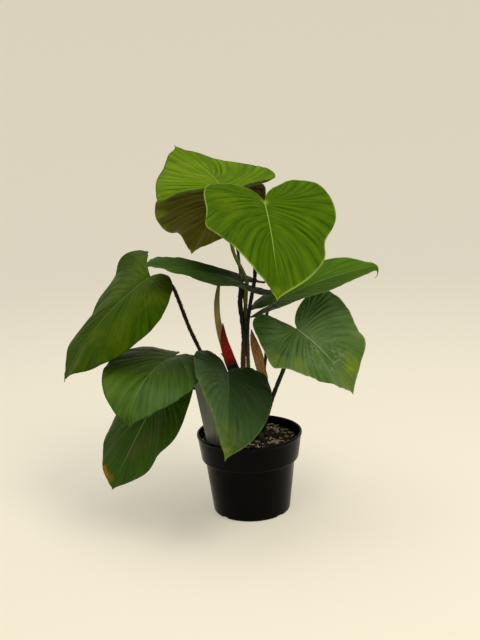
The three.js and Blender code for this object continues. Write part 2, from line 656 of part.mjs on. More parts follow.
addPiece('pot', potGeometry(), LOOKS.pot);
addPiece('soil', cutBy(soilGeometry(), soilHoles), LOOKS.soil);
addPiece('label', labelGeometry(), LOOKS.label);
for (const [name, stem] of Object.entries(STEMS)) {
  addPiece(name, stemGeometry(stem), LOOKS.stem);
}
const rootHoles = [stemHoles[AERIAL_ROOT.foot]];
addPiece('aerial_root', cutBy(aerialRootGeometry(), rootHoles), LOOKS.root);
for (const [name, sheath] of Object.entries(SHEATHS)) {
  const look = { colour: sheath.colour, roughness: SHEATH_ROUGHNESS };
  addPiece(name, cutBy(sheathGeometry(sheath), [stemHoles[sheath.foot]]), look);
}
for (const [name, leaf] of Object.entries(LEAVES)) {
  const look = { colour: leaf.colour, roughness: BLADE_ROUGHNESS };
  addPiece(`stalk_${name}`, cutBy(stalkGeometry(leaf), [stemHoles[leaf.foot]]), LOOKS.stalk);
  addPiece(`blade_${name}`, bladeGeometry(leaf), look);
}

export default plant;
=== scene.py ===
"""Looks of the potted philodendron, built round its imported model.

Shapes are worked out in millimetres and degrees in the row frame, and a mesh turns them into metres.
+Z is up, +Y points away from the front, and the middle of the pot's base is the origin.
"""
import math

import bmesh
import bpy
import numpy as np
from mathutils import Matrix, Vector


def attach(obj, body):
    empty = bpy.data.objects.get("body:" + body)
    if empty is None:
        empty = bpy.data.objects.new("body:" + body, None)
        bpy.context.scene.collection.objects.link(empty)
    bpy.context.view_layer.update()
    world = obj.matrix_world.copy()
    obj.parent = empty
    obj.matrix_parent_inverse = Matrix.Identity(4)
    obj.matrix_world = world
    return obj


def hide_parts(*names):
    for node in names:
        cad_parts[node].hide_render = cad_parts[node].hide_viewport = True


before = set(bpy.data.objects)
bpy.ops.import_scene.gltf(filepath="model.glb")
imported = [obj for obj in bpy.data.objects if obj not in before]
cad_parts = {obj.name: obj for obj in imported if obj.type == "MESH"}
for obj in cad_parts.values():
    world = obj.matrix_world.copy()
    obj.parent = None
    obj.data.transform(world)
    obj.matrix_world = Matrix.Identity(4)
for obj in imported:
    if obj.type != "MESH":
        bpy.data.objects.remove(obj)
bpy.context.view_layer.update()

METRES = 0.001
BODY = "root"

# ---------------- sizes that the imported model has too

POT_HEIGHT = 123
POT_RIM_RADIUS = 80
POT_FOOT_RADIUS = 59
POT_COLLAR_HEIGHT = 40
POT_COLLAR_FOOT_RADIUS = 74
POT_BODY_TOP_RADIUS = 68.5
POT_WALL = 1.6
POT_FLOOR = 2.2
POT_LIP = 3.2
POT_ROUND = 1
POT_FOOT_ROUND = 3
POT_RIM_BAND = 4
DRAIN_COUNT = 4
DRAIN_WIDTH = 12
DRAIN_HEIGHT = 3
DRAIN_DEPTH = 8

SOIL_TOP = 108
SOIL_GAP = 0.3

LABEL_WIDTH = 34
LABEL_THICKNESS = 1
LABEL_TOP_LEFT = (-79, -34, 212)
LABEL_FOOT_LEFT = (-59, -34, 92)
LABEL_POINT = 14
LABEL_SHOULDER = 10

# Half of a flat heart-shaped blade, from the notch round to the tip: the place along the midrib, over
# the length in front of the notch and over the lobe's depth behind it, and the distance from the
# midrib over the half width.
HEART = [
    (0, 0), (-0.55, 0.10), (-0.93, 0.30), (-0.98, 0.56), (-0.55, 0.84), (0.04, 0.985), (0.22, 1),
    (0.42, 0.90), (0.62, 0.68), (0.80, 0.38), (0.915, 0.13), (0.965, 0.04), (1, 0),
]
VEIN_FAN = 0.44                  # share of the outline whose veins all start at the notch
VEIN_CROWDING = 1.5              # power that sets the other veins' starts closer near the notch
VEIN_BEND = (0.24, 0.64)         # a side vein's bend, as shares of its way along and across
MIDRIB_REACH = 0.80              # where the last side vein starts, over the blade's length
WAVE_WIDTH = 0.055               # half width of a wave, as a share of the outline
HOOK_START = 0.86                # where the drip tip starts, over the blade's length

# Each leaf stands at `at`, the notch where its stalk ends. Heading is the way its tip points, from +X
# towards +Y; pitch is how far it points up; roll lifts its left side. Pairs are (left, right). Half is
# its half width, lobe how far a lobe reaches behind the notch, notch what widens the bay between them,
# and a shoulder below 1 puts its broad part nearer the tip. Arch bends the midrib down, droop the
# lobes, twist turns the tip about the midrib, sweep carries it to the left, fold lifts each half from
# the midrib, cup bends it on from there, and hook curls the drip tip down. A wave is (side, place
# along the outline, mm that the margin draws in, mm that it lifts). Pleat is the height of its folds.
LEAVES = {
    "top_front": dict(
        at=(33, -46, 472), heading=279, pitch=-36, roll=-18, length=180, half=(94, 94),
        lobe=(38, 21), shoulder=0.85, arch=10, droop=5, twist=-15, sweep=-5, fold=(15, 10),
        cup=(20, -20), hook=10, waves=[(-1, 0.59, -15, -3), (1, 0.57, 13, -2)],
        stalk_under=2, stalk_radius=2.9, pleat=0.85,
        stalk=[(2, -2.5, 205), (2.3, -3.5, 246), (3.2, -3.8, 284), (7, -2, 311), (13, 1, 339),
               (16.5, 3, 356), (18, 0, 376), (22, -14, 410), (29, -34, 450), (32, -44, 464)]),
    "top_back": dict(
        at=(-24, 28, 484), heading=98, pitch=14, roll=4, length=174, half=(98, 81),
        lobe=(32, 40), shoulder=1.15, arch=-15, droop=-40, twist=5, sweep=40, fold=(10, 10),
        cup=(-35, 15), hook=-5, waves=[(1, 0.66, 5, -6), (-1, 0.71, 0, -4), (1, 0.41, -2, -6)],
        stalk_radius=3.0, pleat=1.0,
        stalk=[(-5, 6.5, 205), (-3.5, 6, 248), (-1, 5, 280), (1, 3, 310), (3, 0.5, 335),
               (4.6, -0.2, 352), (-1, 4.5, 368), (-8, 9.8, 382), (-14, 15, 398), (-22, 22, 440),
               (-26, 26, 470)]),
    "hanging_back": dict(
        at=(-29, 86, 481), heading=110, pitch=-41, roll=10, length=168, half=(97, 76),
        lobe=(30, 29), shoulder=0.95, arch=0, droop=60, twist=5, sweep=10, fold=(0, 15),
        cup=(-15, -20), hook=10, waves=[(1, 0.76, 3, 16)],
        stalk_under=2, stalk_radius=2.5, pleat=0.7,
        stalk=[(1.8, 7.2, 205), (2.5, 8.5, 248), (3, 22, 290), (-1, 46, 330), (-5, 62, 362),
               (-8, 68, 396), (-18, 78, 440), (-26, 85, 468)]),
    "left_narrow": dict(
        at=(-5, -3, 353), heading=200, pitch=24, roll=-6, length=148, half=(64, 63),
        lobe=(40, 51), notch=8, shoulder=0.5, arch=20, droop=-10, twist=0, sweep=0,
        fold=(10, 15), cup=(-25, -25), hook=20,
        stalk_radius=3.7, pleat=0.6,
        stalk=[(-6.2, 1, 205), (-5, -5, 238), (-2.4, -10, 270), (-4.2, -8.5, 298),
               (-6.3, -6, 322), (-4, -3, 345)]),
    "left_long": dict(
        at=(-137, 2, 365), heading=173, pitch=-33, roll=-23, length=214, half=(106, 95),
        lobe=(33, 1), shoulder=0.9, arch=25, droop=15, twist=-5, sweep=15, fold=(10, 20),
        cup=(-45, -45), hook=15, waves=[(-1, 0.46, 0, 21), (-1, 0.66, 3, -12)],
        stalk_radius=2.9, pleat=0.65,
        stalk=[(-6, 4, 112), (-17, 4, 121), (-26, 3, 136), (-49, 2, 196), (-69, 2, 250),
               (-84, 3, 287), (-98, 4, 330), (-106, 5, 349), (-118, 5, 359), (-130, 3, 362)]),
    "left_front": dict(
        at=(-105, -22, 250), heading=234, pitch=-2, roll=3, length=156, half=(76, 77),
        lobe=(31, 34), shoulder=0.65, arch=50, droop=30, twist=-5, sweep=15, fold=(0, 10),
        cup=(-20, -5), hook=40,
        stalk_radius=2.7, pleat=0.4,
        stalk=[(-5, 0, 120), (-13, -2, 129), (-38, -7, 176), (-72, -14, 221), (-92, -18, 239),
               (-99, -20, 244)]),
    "centre_front": dict(
        at=(-28, -56, 231), heading=273, pitch=-21, roll=-31, length=158, half=(66, 59),
        lobe=(19, 35), shoulder=0.9, arch=25, droop=5, twist=-25, sweep=5, fold=(15, 10),
        cup=(-5, -15), hook=10,
        stalk_radius=2.7, pleat=0.75,
        stalk=[(-2, -1, 110), (-5, -7, 120), (-13, -15, 154), (-22, -28, 190), (-27, -44, 219),
               (-28, -52, 226)]),
    "right_front": dict(
        at=(76, -15, 281), heading=344, pitch=-35, roll=22, length=130, half=(90, 86),
        lobe=(19, 57), shoulder=1.05, arch=30, droop=0, twist=-10, sweep=-5, fold=(25, 15),
        cup=(-10, -25), hook=20, waves=[(1, 0.69, -4, 12), (-1, 0.42, -5, -12)],
        stalk_under=2, stalk_radius=3.5, pleat=1.15,
        stalk=[(16, 6, 116), (23, 4, 128), (35, 0, 168), (44, -2, 192), (54, -4, 216),
               (65, -7, 245), (73, -12, 270)]),
    "right_back": dict(
        at=(39, 20, 313), heading=-2, pitch=29, roll=13, length=186, half=(65, 61),
        lobe=(36, 33), shoulder=1.1, arch=25, droop=0, twist=25, sweep=0, fold=(10, 15),
        cup=(-30, 0), hook=150, waves=[(1, 0.78, 4, 0)],
        stalk_radius=2.6, pleat=0.7,
        stalk=[(17.5, 8.5, 130), (20, 8, 169), (26, 9, 215), (30, 12, 242), (32, 15, 268),
               (33, 19, 297), (36, 22, 306)]),
    "low_left": dict(
        at=(-130, -5, 196), heading=225, pitch=-49, roll=-11, length=168, half=(69, 70),
        lobe=(32, 24), shoulder=0.65, arch=25, droop=5, twist=-10, sweep=-15, fold=(10, 5),
        cup=(-5, -45), hook=10, waves=[(1, 0.58, 8, 5)],
        stalk_radius=2.6, pleat=0.45,
        stalk=[(-4, 8, 108), (-14, 12, 120), (-42, 14, 166), (-70, 8, 187), (-98, 3, 195),
               (-115, 2, 196), (-123, 0, 195)]),
}
STALK_TAPER = 0.8
STALK_UNDER = 7                  # mm that a stalk reaches under its blade, unless the leaf says it

STEMS = {
    "stem_main": dict(
        points=[(-2, 4, 94), (-2, 4, 130), (-2, 3.5, 170), (-1.5, 2.5, 212)],
        radii=(8.5, 8.8, 8.4, 8.6)),
    "stem_side": dict(
        points=[(15, 6, 96), (15.5, 6.5, 118), (16, 7, 139)],
        radii=(6.2, 6.3, 5.8)),
}
AERIAL_ROOT = dict(
    points=[(-6, 6, 196), (-16, 8, 212), (-28, 7, 230), (-38, 6, 244)],
    radii=(1.9, 1.7, 1.5, 0.8))

# Each papery sheath's route and half widths, and its curl as a share of half a turn. Pale and deep are
# the colours of its ribs, top that of its end, and foot that of its edges, its net and all that is
# below foot_reach. Net is how strongly its fibres show.
SHEATHS = {
    "sheath_tan": dict(
        points=[(-8, 3, 198), (-18, 2, 212), (-28, 0, 233), (-34, 1, 258), (-38.7, 2, 281),
                (-41, 2, 304), (-40.5, 3, 326), (-36.7, 3, 350)],
        widths=(4.6, 4.8, 4.6, 4.8, 4.8, 4.4, 3.7, 2.0), curl=0.55, slot="sheath_dry",
        pale="e2ce88", deep="b09654", foot="8c8458", top="2c2a16", foot_reach=0.25, net=0),
    "sheath_red": dict(
        points=[(-8, -4, 204), (-15.5, -8.5, 213), (-21.5, -9.5, 226), (-28, -9.5, 248),
                (-31.8, -9, 267), (-33, -9, 293)],
        widths=(8.0, 8.6, 8.6, 7.7, 5.2, 0.5), curl=0.45, slot="sheath_red",
        pale="d82814", deep="8a1008", foot="140a06", top="6a0e06", foot_reach=0.56, net=0),
    "sheath_brown": dict(
        points=[(14.5, 2, 130), (17, -1.5, 150), (22, -5, 182), (24.5, -6, 205), (21, -7, 221),
                (17, -8, 242), (12, -8.5, 262), (8.5, -9, 282)],
        widths=(5.0, 5.4, 5.8, 6.2, 6.8, 7.4, 5.4, 0.6), curl=0.60, slot="sheath_dry",
        pale="ecb474", deep="b47a42", foot="4a2c14", top="8a5830", foot_reach=0.08, net=0.6),
}

# ---------------- sizes of the fine detail

RIPPLE_WAVES = 8                 # waves that a patch of smooth noise is the sum of

BLADE_THICKNESS = 0.55
BLADE_CELLS = 300                # from the notch round to the tip
BLADE_ROWS = np.concatenate([[0, 0.006, 0.013, 0.022, 0.034, 0.05], np.linspace(0.075, 0.97, 25), [1]])
PLEATS = 24                      # side veins from the notch round to the tip
MAIN_EVERY = 3                   # one side vein in so many is a strong one
PLEAT_SPACE = 6                  # mm between side veins from which a pleat has its full height
MAIN_SPACE = 3.5                 # the same for the broad pleats between strong veins
MARGIN_RIPPLE = 0.9
SWELL_HEIGHT = 0.9
SWELL_LENGTH = 60
MIDRIB_DEPTH = 1.5               # how far the midrib stands out below the blade at the notch
MIDRIB_GROOVE = 0.45             # how far it sinks in above
SIDE_RIB_DEPTH = 0.35
SIDE_RIB_GROOVE = 0.08

ROUTE_SAMPLES = 600              # points that a rod's length is measured from
STALK_SIDES = 16
STALK_STEP = 1.6                 # mm between rings
JOINT_START = 0.93               # where a stalk swells into the joint under its blade
JOINT_SWELL = 0.16
STEM_SIDES = 48
STEM_STEP = 0.9
SCAR_SPACING = 11.5              # mm between the rings that old leaves left on a stem
ROOT_SIDES = 14
ROOT_STEP = 0.8
SHEATH_PAPER = 0.5
SHEATH_WRINKLE = 0.45
POT_SIDES = 240
POT_CORNER = 0.5                 # reach of the arcs that soften the corners of the pot's profile
CORNER_STEPS = 4
SOIL_RINGS = 70
SOIL_EDGE = 0.4                  # from the edge of the mix's top to the pot's wall
SOIL_LUMPS = ((1.2, 45), (0.8, 13), (0.5, 5), (0.3, 2.6))       # mm high and mm across
FIBRE_COUNT = 70
FIBRE_STEP = 3.2
LABEL_CORNER = 4
LABEL_EDGE = 0.18

# ---------------- colours, as sRGB hex

YELLOWED = "8aa020"
SPOTTED = "e2981c"
BROWNED = "2c1c0a"
BROWNED_UNDER = "3c1c08"
SCRATCHED = "a0b088"
# Colour of the painted greyish sheen, which stands for a reflection on the blades.
PAINTED_SHEEN_COLOUR = "768a66"
# Colour of the painted shade and painted shadow on the blades.
PAINTED_SHADE_COLOUR = "0a1806"

# Dark and light are the two tones of a leaf's streaks and of the painted shade in its pleats, warm is
# its patches, vein the lines in its pleats, rib the midrib, edge the thin margin line, partly the rim's
# own colour and partly painted light and shade on the rim, under and under_vein the lower face. Two
# pairs of shares on (left, right) give a painted greyish sheen, which stands for a reflection, and
# painted shade that darkens one half (shade). Warmth is how strong the patches are, veined how strong
# the lines, a further share how far the tone follows the painted pleat shade instead of the streaks,
# grain how fine these are, and rib_reach where the midrib's pale line ends. Blots are (mm along the
# midrib, mm to its left, radius, share) of yellowing, browning, scratches and painted shadow, and spot
# is the colour of the yellowing on the upper face.
PLAIN_LOOK = dict(
    under="4c7024", under_vein="66883c", painted_sheen=(0, 0), shade=(0, 0), gloss=0.03, sheen=0, grain=62,
    veined=1, slot="leaf_mature", spot=YELLOWED, yellow=[], brown=[], scratches=[], painted_shadow=[])
LEAF_LOOKS = {
    "top_front": dict(
        dark="1c3a00", light="5f8600", warm="6c8608", vein="7c9a10", rib="9cb84c", edge="a8c45c",
        under="5f7a24", under_vein="7c9440", shade=(0.10, 0.16), warmth=0.3, pleat_shade_share=0.65,
        rib_reach=0.72, slot="leaf_young",
        yellow=[(2, 0, 7, 0.8), (170, 0, 12, 0.4), (30, -60, 26, 0.2)]),
    "top_back": dict(
        dark="1e3a00", light="749a0a", warm="869a10", vein="90ac24", rib="8cac3c", edge="48500c",
        under="5d7320", under_vein="7c8c3c", shade=(0, 0.1), warmth=0.4, pleat_shade_share=0.78,
        rib_reach=0.9, slot="leaf_young", yellow=[(60, 60, 40, 0.2)], brown=[(2, 91, 10, 0.5)]),
    "hanging_back": dict(
        dark="3c4a00", light="4a5c14", warm="5a5a1c", vein="6c7430", rib="857b28", edge="968e38",
        under="625e0c", under_vein="968a3c", warmth=0.5, pleat_shade_share=0.7, rib_reach=1, slot="leaf_back",
        yellow=[(20, 98, 18, 0.9), (60, 92, 18, 0.8), (102, 70, 12, 0.5), (165, 0, 12, 0.6)],
        brown=[(-12, -62, 26, 0.8), (20, -66, 24, 0.7), (60, -50, 30, 0.5), (70, 0, 30, 0.25)]),
    "left_narrow": dict(
        dark="182e06", light="4c6c26", warm="5c7728", vein="869e66", rib="6f8a48", edge="6a8450",
        under="1e300c", under_vein="344a1a", painted_sheen=(0.03, 0.05), shade=(0, 0.12), warmth=0.1,
        pleat_shade_share=0.6, rib_reach=0.9,
        painted_shadow=[(-16, 34, 48, 0.9), (-20, -34, 54, 0.9), (12, 0, 34, 0.75), (40, 16, 34, 0.45),
             (32, -30, 50, 0.75)]),
    "left_long": dict(
        dark="1a3400", light="486800", warm="627404", vein="5a7818", rib="7c9648", edge="2a3e04",
        painted_sheen=(0, 0.10), shade=(0, 0.05), warmth=0.5, pleat_shade_share=0.45, rib_reach=0.85,
        yellow=[(68, 66, 30, 0.2), (0, 40, 40, 0.2), (0, -30, 40, 0.2)], brown=[(-23, 52, 16, 0.2)]),
    "left_front": dict(
        dark="264600", light="507818", warm="5c7c1c", vein="7c9c54", rib="7a9a50", edge="2c4414",
        under="4a6a2c", under_vein="6a8848", painted_sheen=(0.16, 0.02), gloss=0.10, sheen=0.02,
        warmth=0.25, pleat_shade_share=0.18, rib_reach=0.85, grain=24,
        # The two wide yellow blots on its right half are painted light, lifting the half that the lamps
        # leave dark.
        yellow=[(10, -50, 70, 0.3), (80, -50, 50, 0.15)], brown=[(150, 0, 12, 0.4)]),
    "centre_front": dict(
        dark="123208", light="466e26", warm="4c6c2c", vein="86a276", rib="748f62", edge="5c7c3c",
        under="405e28", under_vein="5c7c40", painted_sheen=(0.04, 0.18), shade=(0.36, 0.10), gloss=0.12,
        sheen=0.02, warmth=0.15, pleat_shade_share=0.55, rib_reach=0.36, veined=0.9,
        painted_shadow=[(30, 48, 50, 0.4), (-16, -30, 26, 0.3)],
        yellow=[(56, -58, 8, 0.3), (68, -56, 8, 0.35), (80, -52, 8, 0.4), (92, -47, 8, 0.45),
                (103, -41, 8, 0.5), (115, -33, 8, 0.5), (126, -24, 8, 0.5), (137, -13, 9, 0.5),
                (146, 0, 16, 0.5), (120, 0, 26, 0.2)],
        scratches=[(40, -20, 14, 0.3)]),
    "right_front": dict(
        dark="1a3c02", light="608a28", warm="6c9020", vein="90ae74", rib="b0c894", edge="94b060",
        painted_sheen=(0.26, 0.26), gloss=0.14, sheen=0.04, warmth=0.35, pleat_shade_share=0.55, rib_reach=0.62,
        yellow=[(96, 23, 17, 0.85), (84, 26, 12, 0.5), (4, -84, 16, 0.55), (32, -68, 12, 0.5),
                (38, -80, 12, 0.35), (104, -8, 28, 0.4), (70, 62, 16, 0.2)],
        brown=[(12, -66, 4, 0.4), (130, 0, 6, 0.5)],
        scratches=[(44, -16, 24, 0.9), (62, 3, 22, 1), (23, -6, 16, 0.7), (66, 20, 16, 0.7),
                   (48, -42, 18, 0.6), (70, -20, 16, 0.7)]),
    "right_back": dict(
        dark="2c5000", light="5e8614", warm="6c8c1c", vein="7c9c44", rib="7c964a", edge="7c9c44",
        under="2c4810", under_vein="4c6a28", shade=(0, 0.35), gloss=0.05, warmth=0.2, pleat_shade_share=0.6,
        rib_reach=0.85, painted_shadow=[(-16, 30, 44, 0.6), (-16, -30, 44, 0.6)], brown=[(186, 0, 16, 0.9)]),
    "low_left": dict(
        dark="1e3c02", light="4c7210", warm="5c5a30", vein="5e8438", rib="88a45c", edge="5a7a34",
        under="405e28", under_vein="5c7c40", painted_sheen=(0, 0.06), gloss=0.10, warmth=0.6, pleat_shade_share=0.3,
        rib_reach=0.8, grain=34, spot=SPOTTED,
        yellow=[(150, -20, 5, 1), (146, -24, 5, 1), (155, -14, 5, 1), (141, -29, 4, 0.8),
                (152, -12, 9, 0.3)],
        brown=[(150, -22, 2.5, 1), (145, -26, 2, 1), (30, 20, 60, 0.35)]),
}

# Each stalk's colours at its top and its foot and of its streaks, the heights between which the foot's
# turns into the top's, as shares of its own, and its bristles: their mm, and how many a mm of it has.
PLAIN_STALK = dict(top="26340f", foot="1e240e", streak="40502a", turn=(0.35, 0.85), bristle=1.1, crowd=3)
STALK_LOOKS = {
    "top_front": dict(
        top="120e08", foot="706a28", streak="3c4420", turn=(0.12, 0.42), bristle=1.3, crowd=7),
    "top_back": dict(
        top="66762a", foot="5a5224", streak="8c984a", turn=(0.2, 0.5), bristle=0.7, crowd=2),
    "hanging_back": dict(top="3a4418", foot="3c3f1a", streak="69702c", bristle=0.9, crowd=2),
    "left_narrow": dict(
        top="0a0906", foot="84502a", streak="2c1a0e", turn=(0.05, 0.55), bristle=1.4, crowd=14),
    "left_long": dict(top="38100a", foot="1c2a10", streak="34401c", bristle=1.4, crowd=8),
    "right_front": dict(top="0c100a", foot="10160c", streak="202a18", bristle=0.8, crowd=5),
}


# ---------------- small maths

def smoothstep(low, high, x):
    """Smooth rise from 0 at low to 1 at high."""
    t = np.clip((np.asarray(x, float) - low) / (high - low), 0, 1)
    return t * t * (3 - 2 * t)


def curve_points(rows, t):
    """Values or points at each t from 0 to 1 on a Catmull-Rom curve through the rows."""
    rows, t = np.asarray(rows, float), np.asarray(t, float)
    spans = len(rows) - 1
    span = np.minimum((t * spans).astype(int), spans - 1)
    s = t * spans - span
    if rows.ndim > 1:
        s = s[..., None]
    before, start = rows[np.maximum(span - 1, 0)], rows[span]
    end, after = rows[span + 1], rows[np.minimum(span + 2, spans)]
    return 0.5 * (2 * start + (end - before) * s
                  + (2 * before - 5 * start + 4 * end - after) * s ** 2
                  + (3 * start - before - 3 * end + after) * s ** 3)


def ripples(places, length, seed):
    """Smooth noise, mostly from -1 to 1, whose features are about `length` across."""
    rng = np.random.default_rng(seed)
    places = np.asarray(places, float)
    total = np.zeros(places.shape[:-1])
    for _ in range(RIPPLE_WAVES):
        direction = rng.normal(size=places.shape[-1])
        direction *= 2 * math.pi / (length * rng.uniform(0.6, 1.7) * np.linalg.norm(direction))
        total += np.cos(places @ direction + rng.uniform(0, 2 * math.pi))
    return total / math.sqrt(RIPPLE_WAVES)


def wander(seed, *columns):
    """Ripples over places with these coordinates, whose features are about 1 across."""
    return ripples(np.stack(np.broadcast_arrays(*columns), axis=-1), 1.0, seed)


def unit(vectors):
    lengths = np.linalg.norm(vectors, axis=-1, keepdims=True)
    return vectors / np.maximum(lengths, 1e-12)


def turned(*steps):
    """Rotation made of steps of (degrees, axis), each about the axes that those before it turned."""
    turn = Matrix.Identity(4)
    for degrees, axis in steps:
        turn = turn @ Matrix.Rotation(math.radians(degrees), 4, axis)
    return turn


def circle_angles(sides):
    return 2 * math.pi * np.arange(sides) / sides


def level_ring(sides, radius, height):
    """Points of a level circle round the middle."""
    angles = circle_angles(sides)
    return np.stack([radius * np.cos(angles), radius * np.sin(angles), np.full(sides, height)], axis=1)


# ---------------- faces and mesh objects

def band_faces(bands, sides, first):
    """Quads between rings of so many vertices that follow each other from vertex `first` on."""
    return [(a + k, a + (k + 1) % sides, a + (k + 1) % sides + sides, a + k + sides)
            for a in range(first, first + bands * sides, sides) for k in range(sides)]


def rod_faces(bands, sides, first=0):
    """Quads between the rings and a flat end face on both sides."""
    last = first + bands * sides
    return band_faces(bands, sides, first) + [
        tuple(first + k for k in reversed(range(sides))), tuple(last + k for k in range(sides))]


def ringed(start, rings, end=None):
    """Points and faces of a surface from one point over rings, which may close in a second point."""
    sides = len(rings[0])
    points = [start, *(point for ring in rings for point in ring)]
    faces = [(0, 1 + (k + 1) % sides, 1 + k) for k in range(sides)]
    faces += band_faces(len(rings) - 1, sides, 1)
    if end is not None:
        top = len(points) - sides
        faces += [(top + k, top + (k + 1) % sides, len(points)) for k in range(sides)]
        points.append(end)
    return points, faces


def vertex_normals(points, faces):
    """Mean normals of a surface, from the first three corners of each of its faces."""
    corners = np.array([face[:3] for face in faces])
    a, b, c = (points[corners[:, k]] for k in range(3))
    normals = np.zeros_like(points)
    for k in range(3):
        np.add.at(normals, corners[:, k], np.cross(b - a, c - a))
    return unit(normals)


def open_edges(faces):
    """Directed edges that only one face has."""
    edges = {(a, b) for face in faces for a, b in zip(face, face[1:] + face[:1])}
    return [(a, b) for a, b in edges if (b, a) not in edges]


def closed_sheet(middle, quads, above, below):
    """Points and faces of a sheet that reaches `above` and `below` its middle surface."""
    normals = vertex_normals(middle, quads)
    count = len(middle)
    points = np.concatenate([middle + normals * above, middle - normals * below])
    lower = [tuple(i + count for i in reversed(q)) for q in quads]
    rim = [(b, a, a + count, b + count) for a, b in sorted(open_edges(quads))]
    return points, quads + lower + rim


def add_object(name, data):
    made = bpy.data.objects.new(name, data)
    bpy.context.scene.collection.objects.link(made)
    return made


def smooth_mesh(name, points, faces, material):
    """Mesh with smooth faces from points in mm."""
    mesh = bpy.data.meshes.new(name)
    mesh.from_pydata((np.asarray(points, float) * METRES).tolist(), [], faces)
    mesh.polygons.foreach_set("use_smooth", np.ones(len(mesh.polygons), bool))
    mesh.materials.append(material)
    return mesh


def make_piece(name, points, faces, material, nodes=(), sharp=70):
    """Adds a mesh in the row frame from points in mm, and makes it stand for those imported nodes."""
    mesh = smooth_mesh(name, points, faces, material)
    mesh.set_sharp_from_angle(angle=math.radians(sharp))
    piece = add_object(name, mesh)
    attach(piece, BODY)
    if nodes:
        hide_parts(*nodes)
    return piece


def add_values(piece, name, values):
    """Stores a number or a vector for each vertex, which the material reads by its name."""
    values = np.asarray(values, np.float32)
    kind, key = ("FLOAT", "value") if values.ndim == 1 else ("FLOAT_VECTOR", "vector")
    layer = piece.data.attributes.new(name, kind, "POINT")
    layer.data.foreach_set(key, values.ravel())


# ---------------- materials

def colour(code):
    """Linear RGBA of an sRGB hex code."""
    parts = [int(code[i:i + 2], 16) / 255 for i in (0, 2, 4)]
    linear = [c / 12.92 if c <= 0.04045 else ((c + 0.055) / 1.055) ** 2.4 for c in parts]
    return (*linear, 1.0)


class Shader:
    """A material with one Principled shader, and short calls that add nodes in front of it."""

    def __init__(self, name, **fixed):
        self.material = bpy.data.materials.new(name)
        self.material.use_nodes = True
        self.tree = self.material.node_tree
        self.surface = self.tree.nodes["Principled BSDF"]
        for socket, value in fixed.items():
            self.surface.inputs[socket.replace("_", " ")].default_value = value

    def node(self, kind, inputs=None, **settings):
        made = self.tree.nodes.new("ShaderNode" + kind)
        for key, value in settings.items():
            setattr(made, key, value)
        for key, value in (inputs or {}).items():
            self.put(made.inputs[key], value)
        return made

    def put(self, socket, value):
        if isinstance(value, bpy.types.NodeSocket):
            self.tree.links.new(value, socket)
        else:
            socket.default_value = value

    def math(self, operation, *values):
        return self.node("Math", dict(enumerate(values)), operation=operation).outputs[0]

    def times(self, first, *others):
        for other in others:
            first = self.math("MULTIPLY", first, other)
        return first

    def add(self, first, *others):
        for other in others:
            first = self.math("ADD", first, other)
        return first

    def by_side(self, on_left, left, right):
        """Left where on_left is 1 and right where it is 0."""
        return self.math("MULTIPLY_ADD", on_left, left - right, right)

    def coats(self, base, *coats):
        """The base with each coat, a share and a colour, over it in turn. A colour is hex or a socket."""
        for share, coat in coats:
            made = self.node("Mix", data_type="RGBA")
            self.put(made.inputs[0], share)
            for socket, value in ((made.inputs[6], base), (made.inputs[7], coat)):
                self.put(socket, colour(value) if isinstance(value, str) else value)
            base = made.outputs[2]
        return base

    def parts(self, vector):
        return self.node("SeparateXYZ", {0: vector}).outputs

    def join(self, x, y):
        return self.node("CombineXYZ", {0: x, 1: y}).outputs[0]

    def scale(self, value, low, high, out_low=0.0, out_high=1.0):
        """Takes value from the range low..high to the range out_low..out_high."""
        return self.node("MapRange", {0: value, 1: low, 2: high, 3: out_low, 4: out_high}).outputs[0]

    def stored(self, name):
        return self.node("Attribute", attribute_name=name).outputs["Fac"]

    def stored_vector(self, name):
        return self.node("Attribute", attribute_name=name).outputs["Vector"]

    def place(self, *factors):
        """Object place in metres, with each axis times its factor."""
        made = self.node("TexCoord")
        return self.node("VectorMath", {0: made.outputs["Object"], 1: factors},
                         operation="MULTIPLY").outputs[0]

    def noise(self, where, *span, scale=1.0, detail=3.0, rough=0.5):
        """Noise over a vector, or over the place times three factors. A span is taken to 0..1."""
        vector = self.place(*where) if isinstance(where, tuple) else where
        made = self.node("TexNoise", {"Vector": vector, "Scale": scale, "Detail": detail,
                                      "Roughness": rough})
        return self.scale(made.outputs["Fac"], *span) if span else made.outputs["Fac"]

    def net(self, vector, low, high, scale=1.0, randomness=1.0):
        """Lines between cells, from 1 on a line to 0 away from it."""
        made = self.node("TexVoronoi", {"Vector": vector, "Scale": scale, "Randomness": randomness},
                         feature="DISTANCE_TO_EDGE")
        return self.scale(made.outputs["Distance"], low, high, 1.0, 0.0)

    def finish(self, base, rough, height, bump, depth=0.0004):
        self.put(self.surface.inputs["Base Color"], base)
        self.put(self.surface.inputs["Roughness"], rough)
        made = self.node("Bump", {"Height": height, "Strength": bump, "Distance": depth})
        self.put(self.surface.inputs["Normal"], made.outputs["Normal"])
        return self.material


def leaf_lines(s, look, across, pleat):
    """Lines in the pleats: strong main veins, weaker ones between them, and faint threads."""
    vein = s.scale(s.math("PINGPONG", pleat, 0.5), 0.42, 0.5)
    main = s.times(s.math("PINGPONG", s.times(s.add(pleat, -0.5), 1 / MAIN_EVERY), 0.5), MAIN_EVERY)
    main = s.scale(main, 0.5, 0.2, 0.40, 1.0)
    outward = s.scale(s.math("ABSOLUTE", across), 0.1, 0.95, 0.60, 0.25)
    threads = s.scale(s.math("PINGPONG", s.times(pleat, 4.0), 0.5), 0.40, 0.5, 0.0, 0.09)
    return s.add(s.times(vein, main, look["veined"], outward), threads)


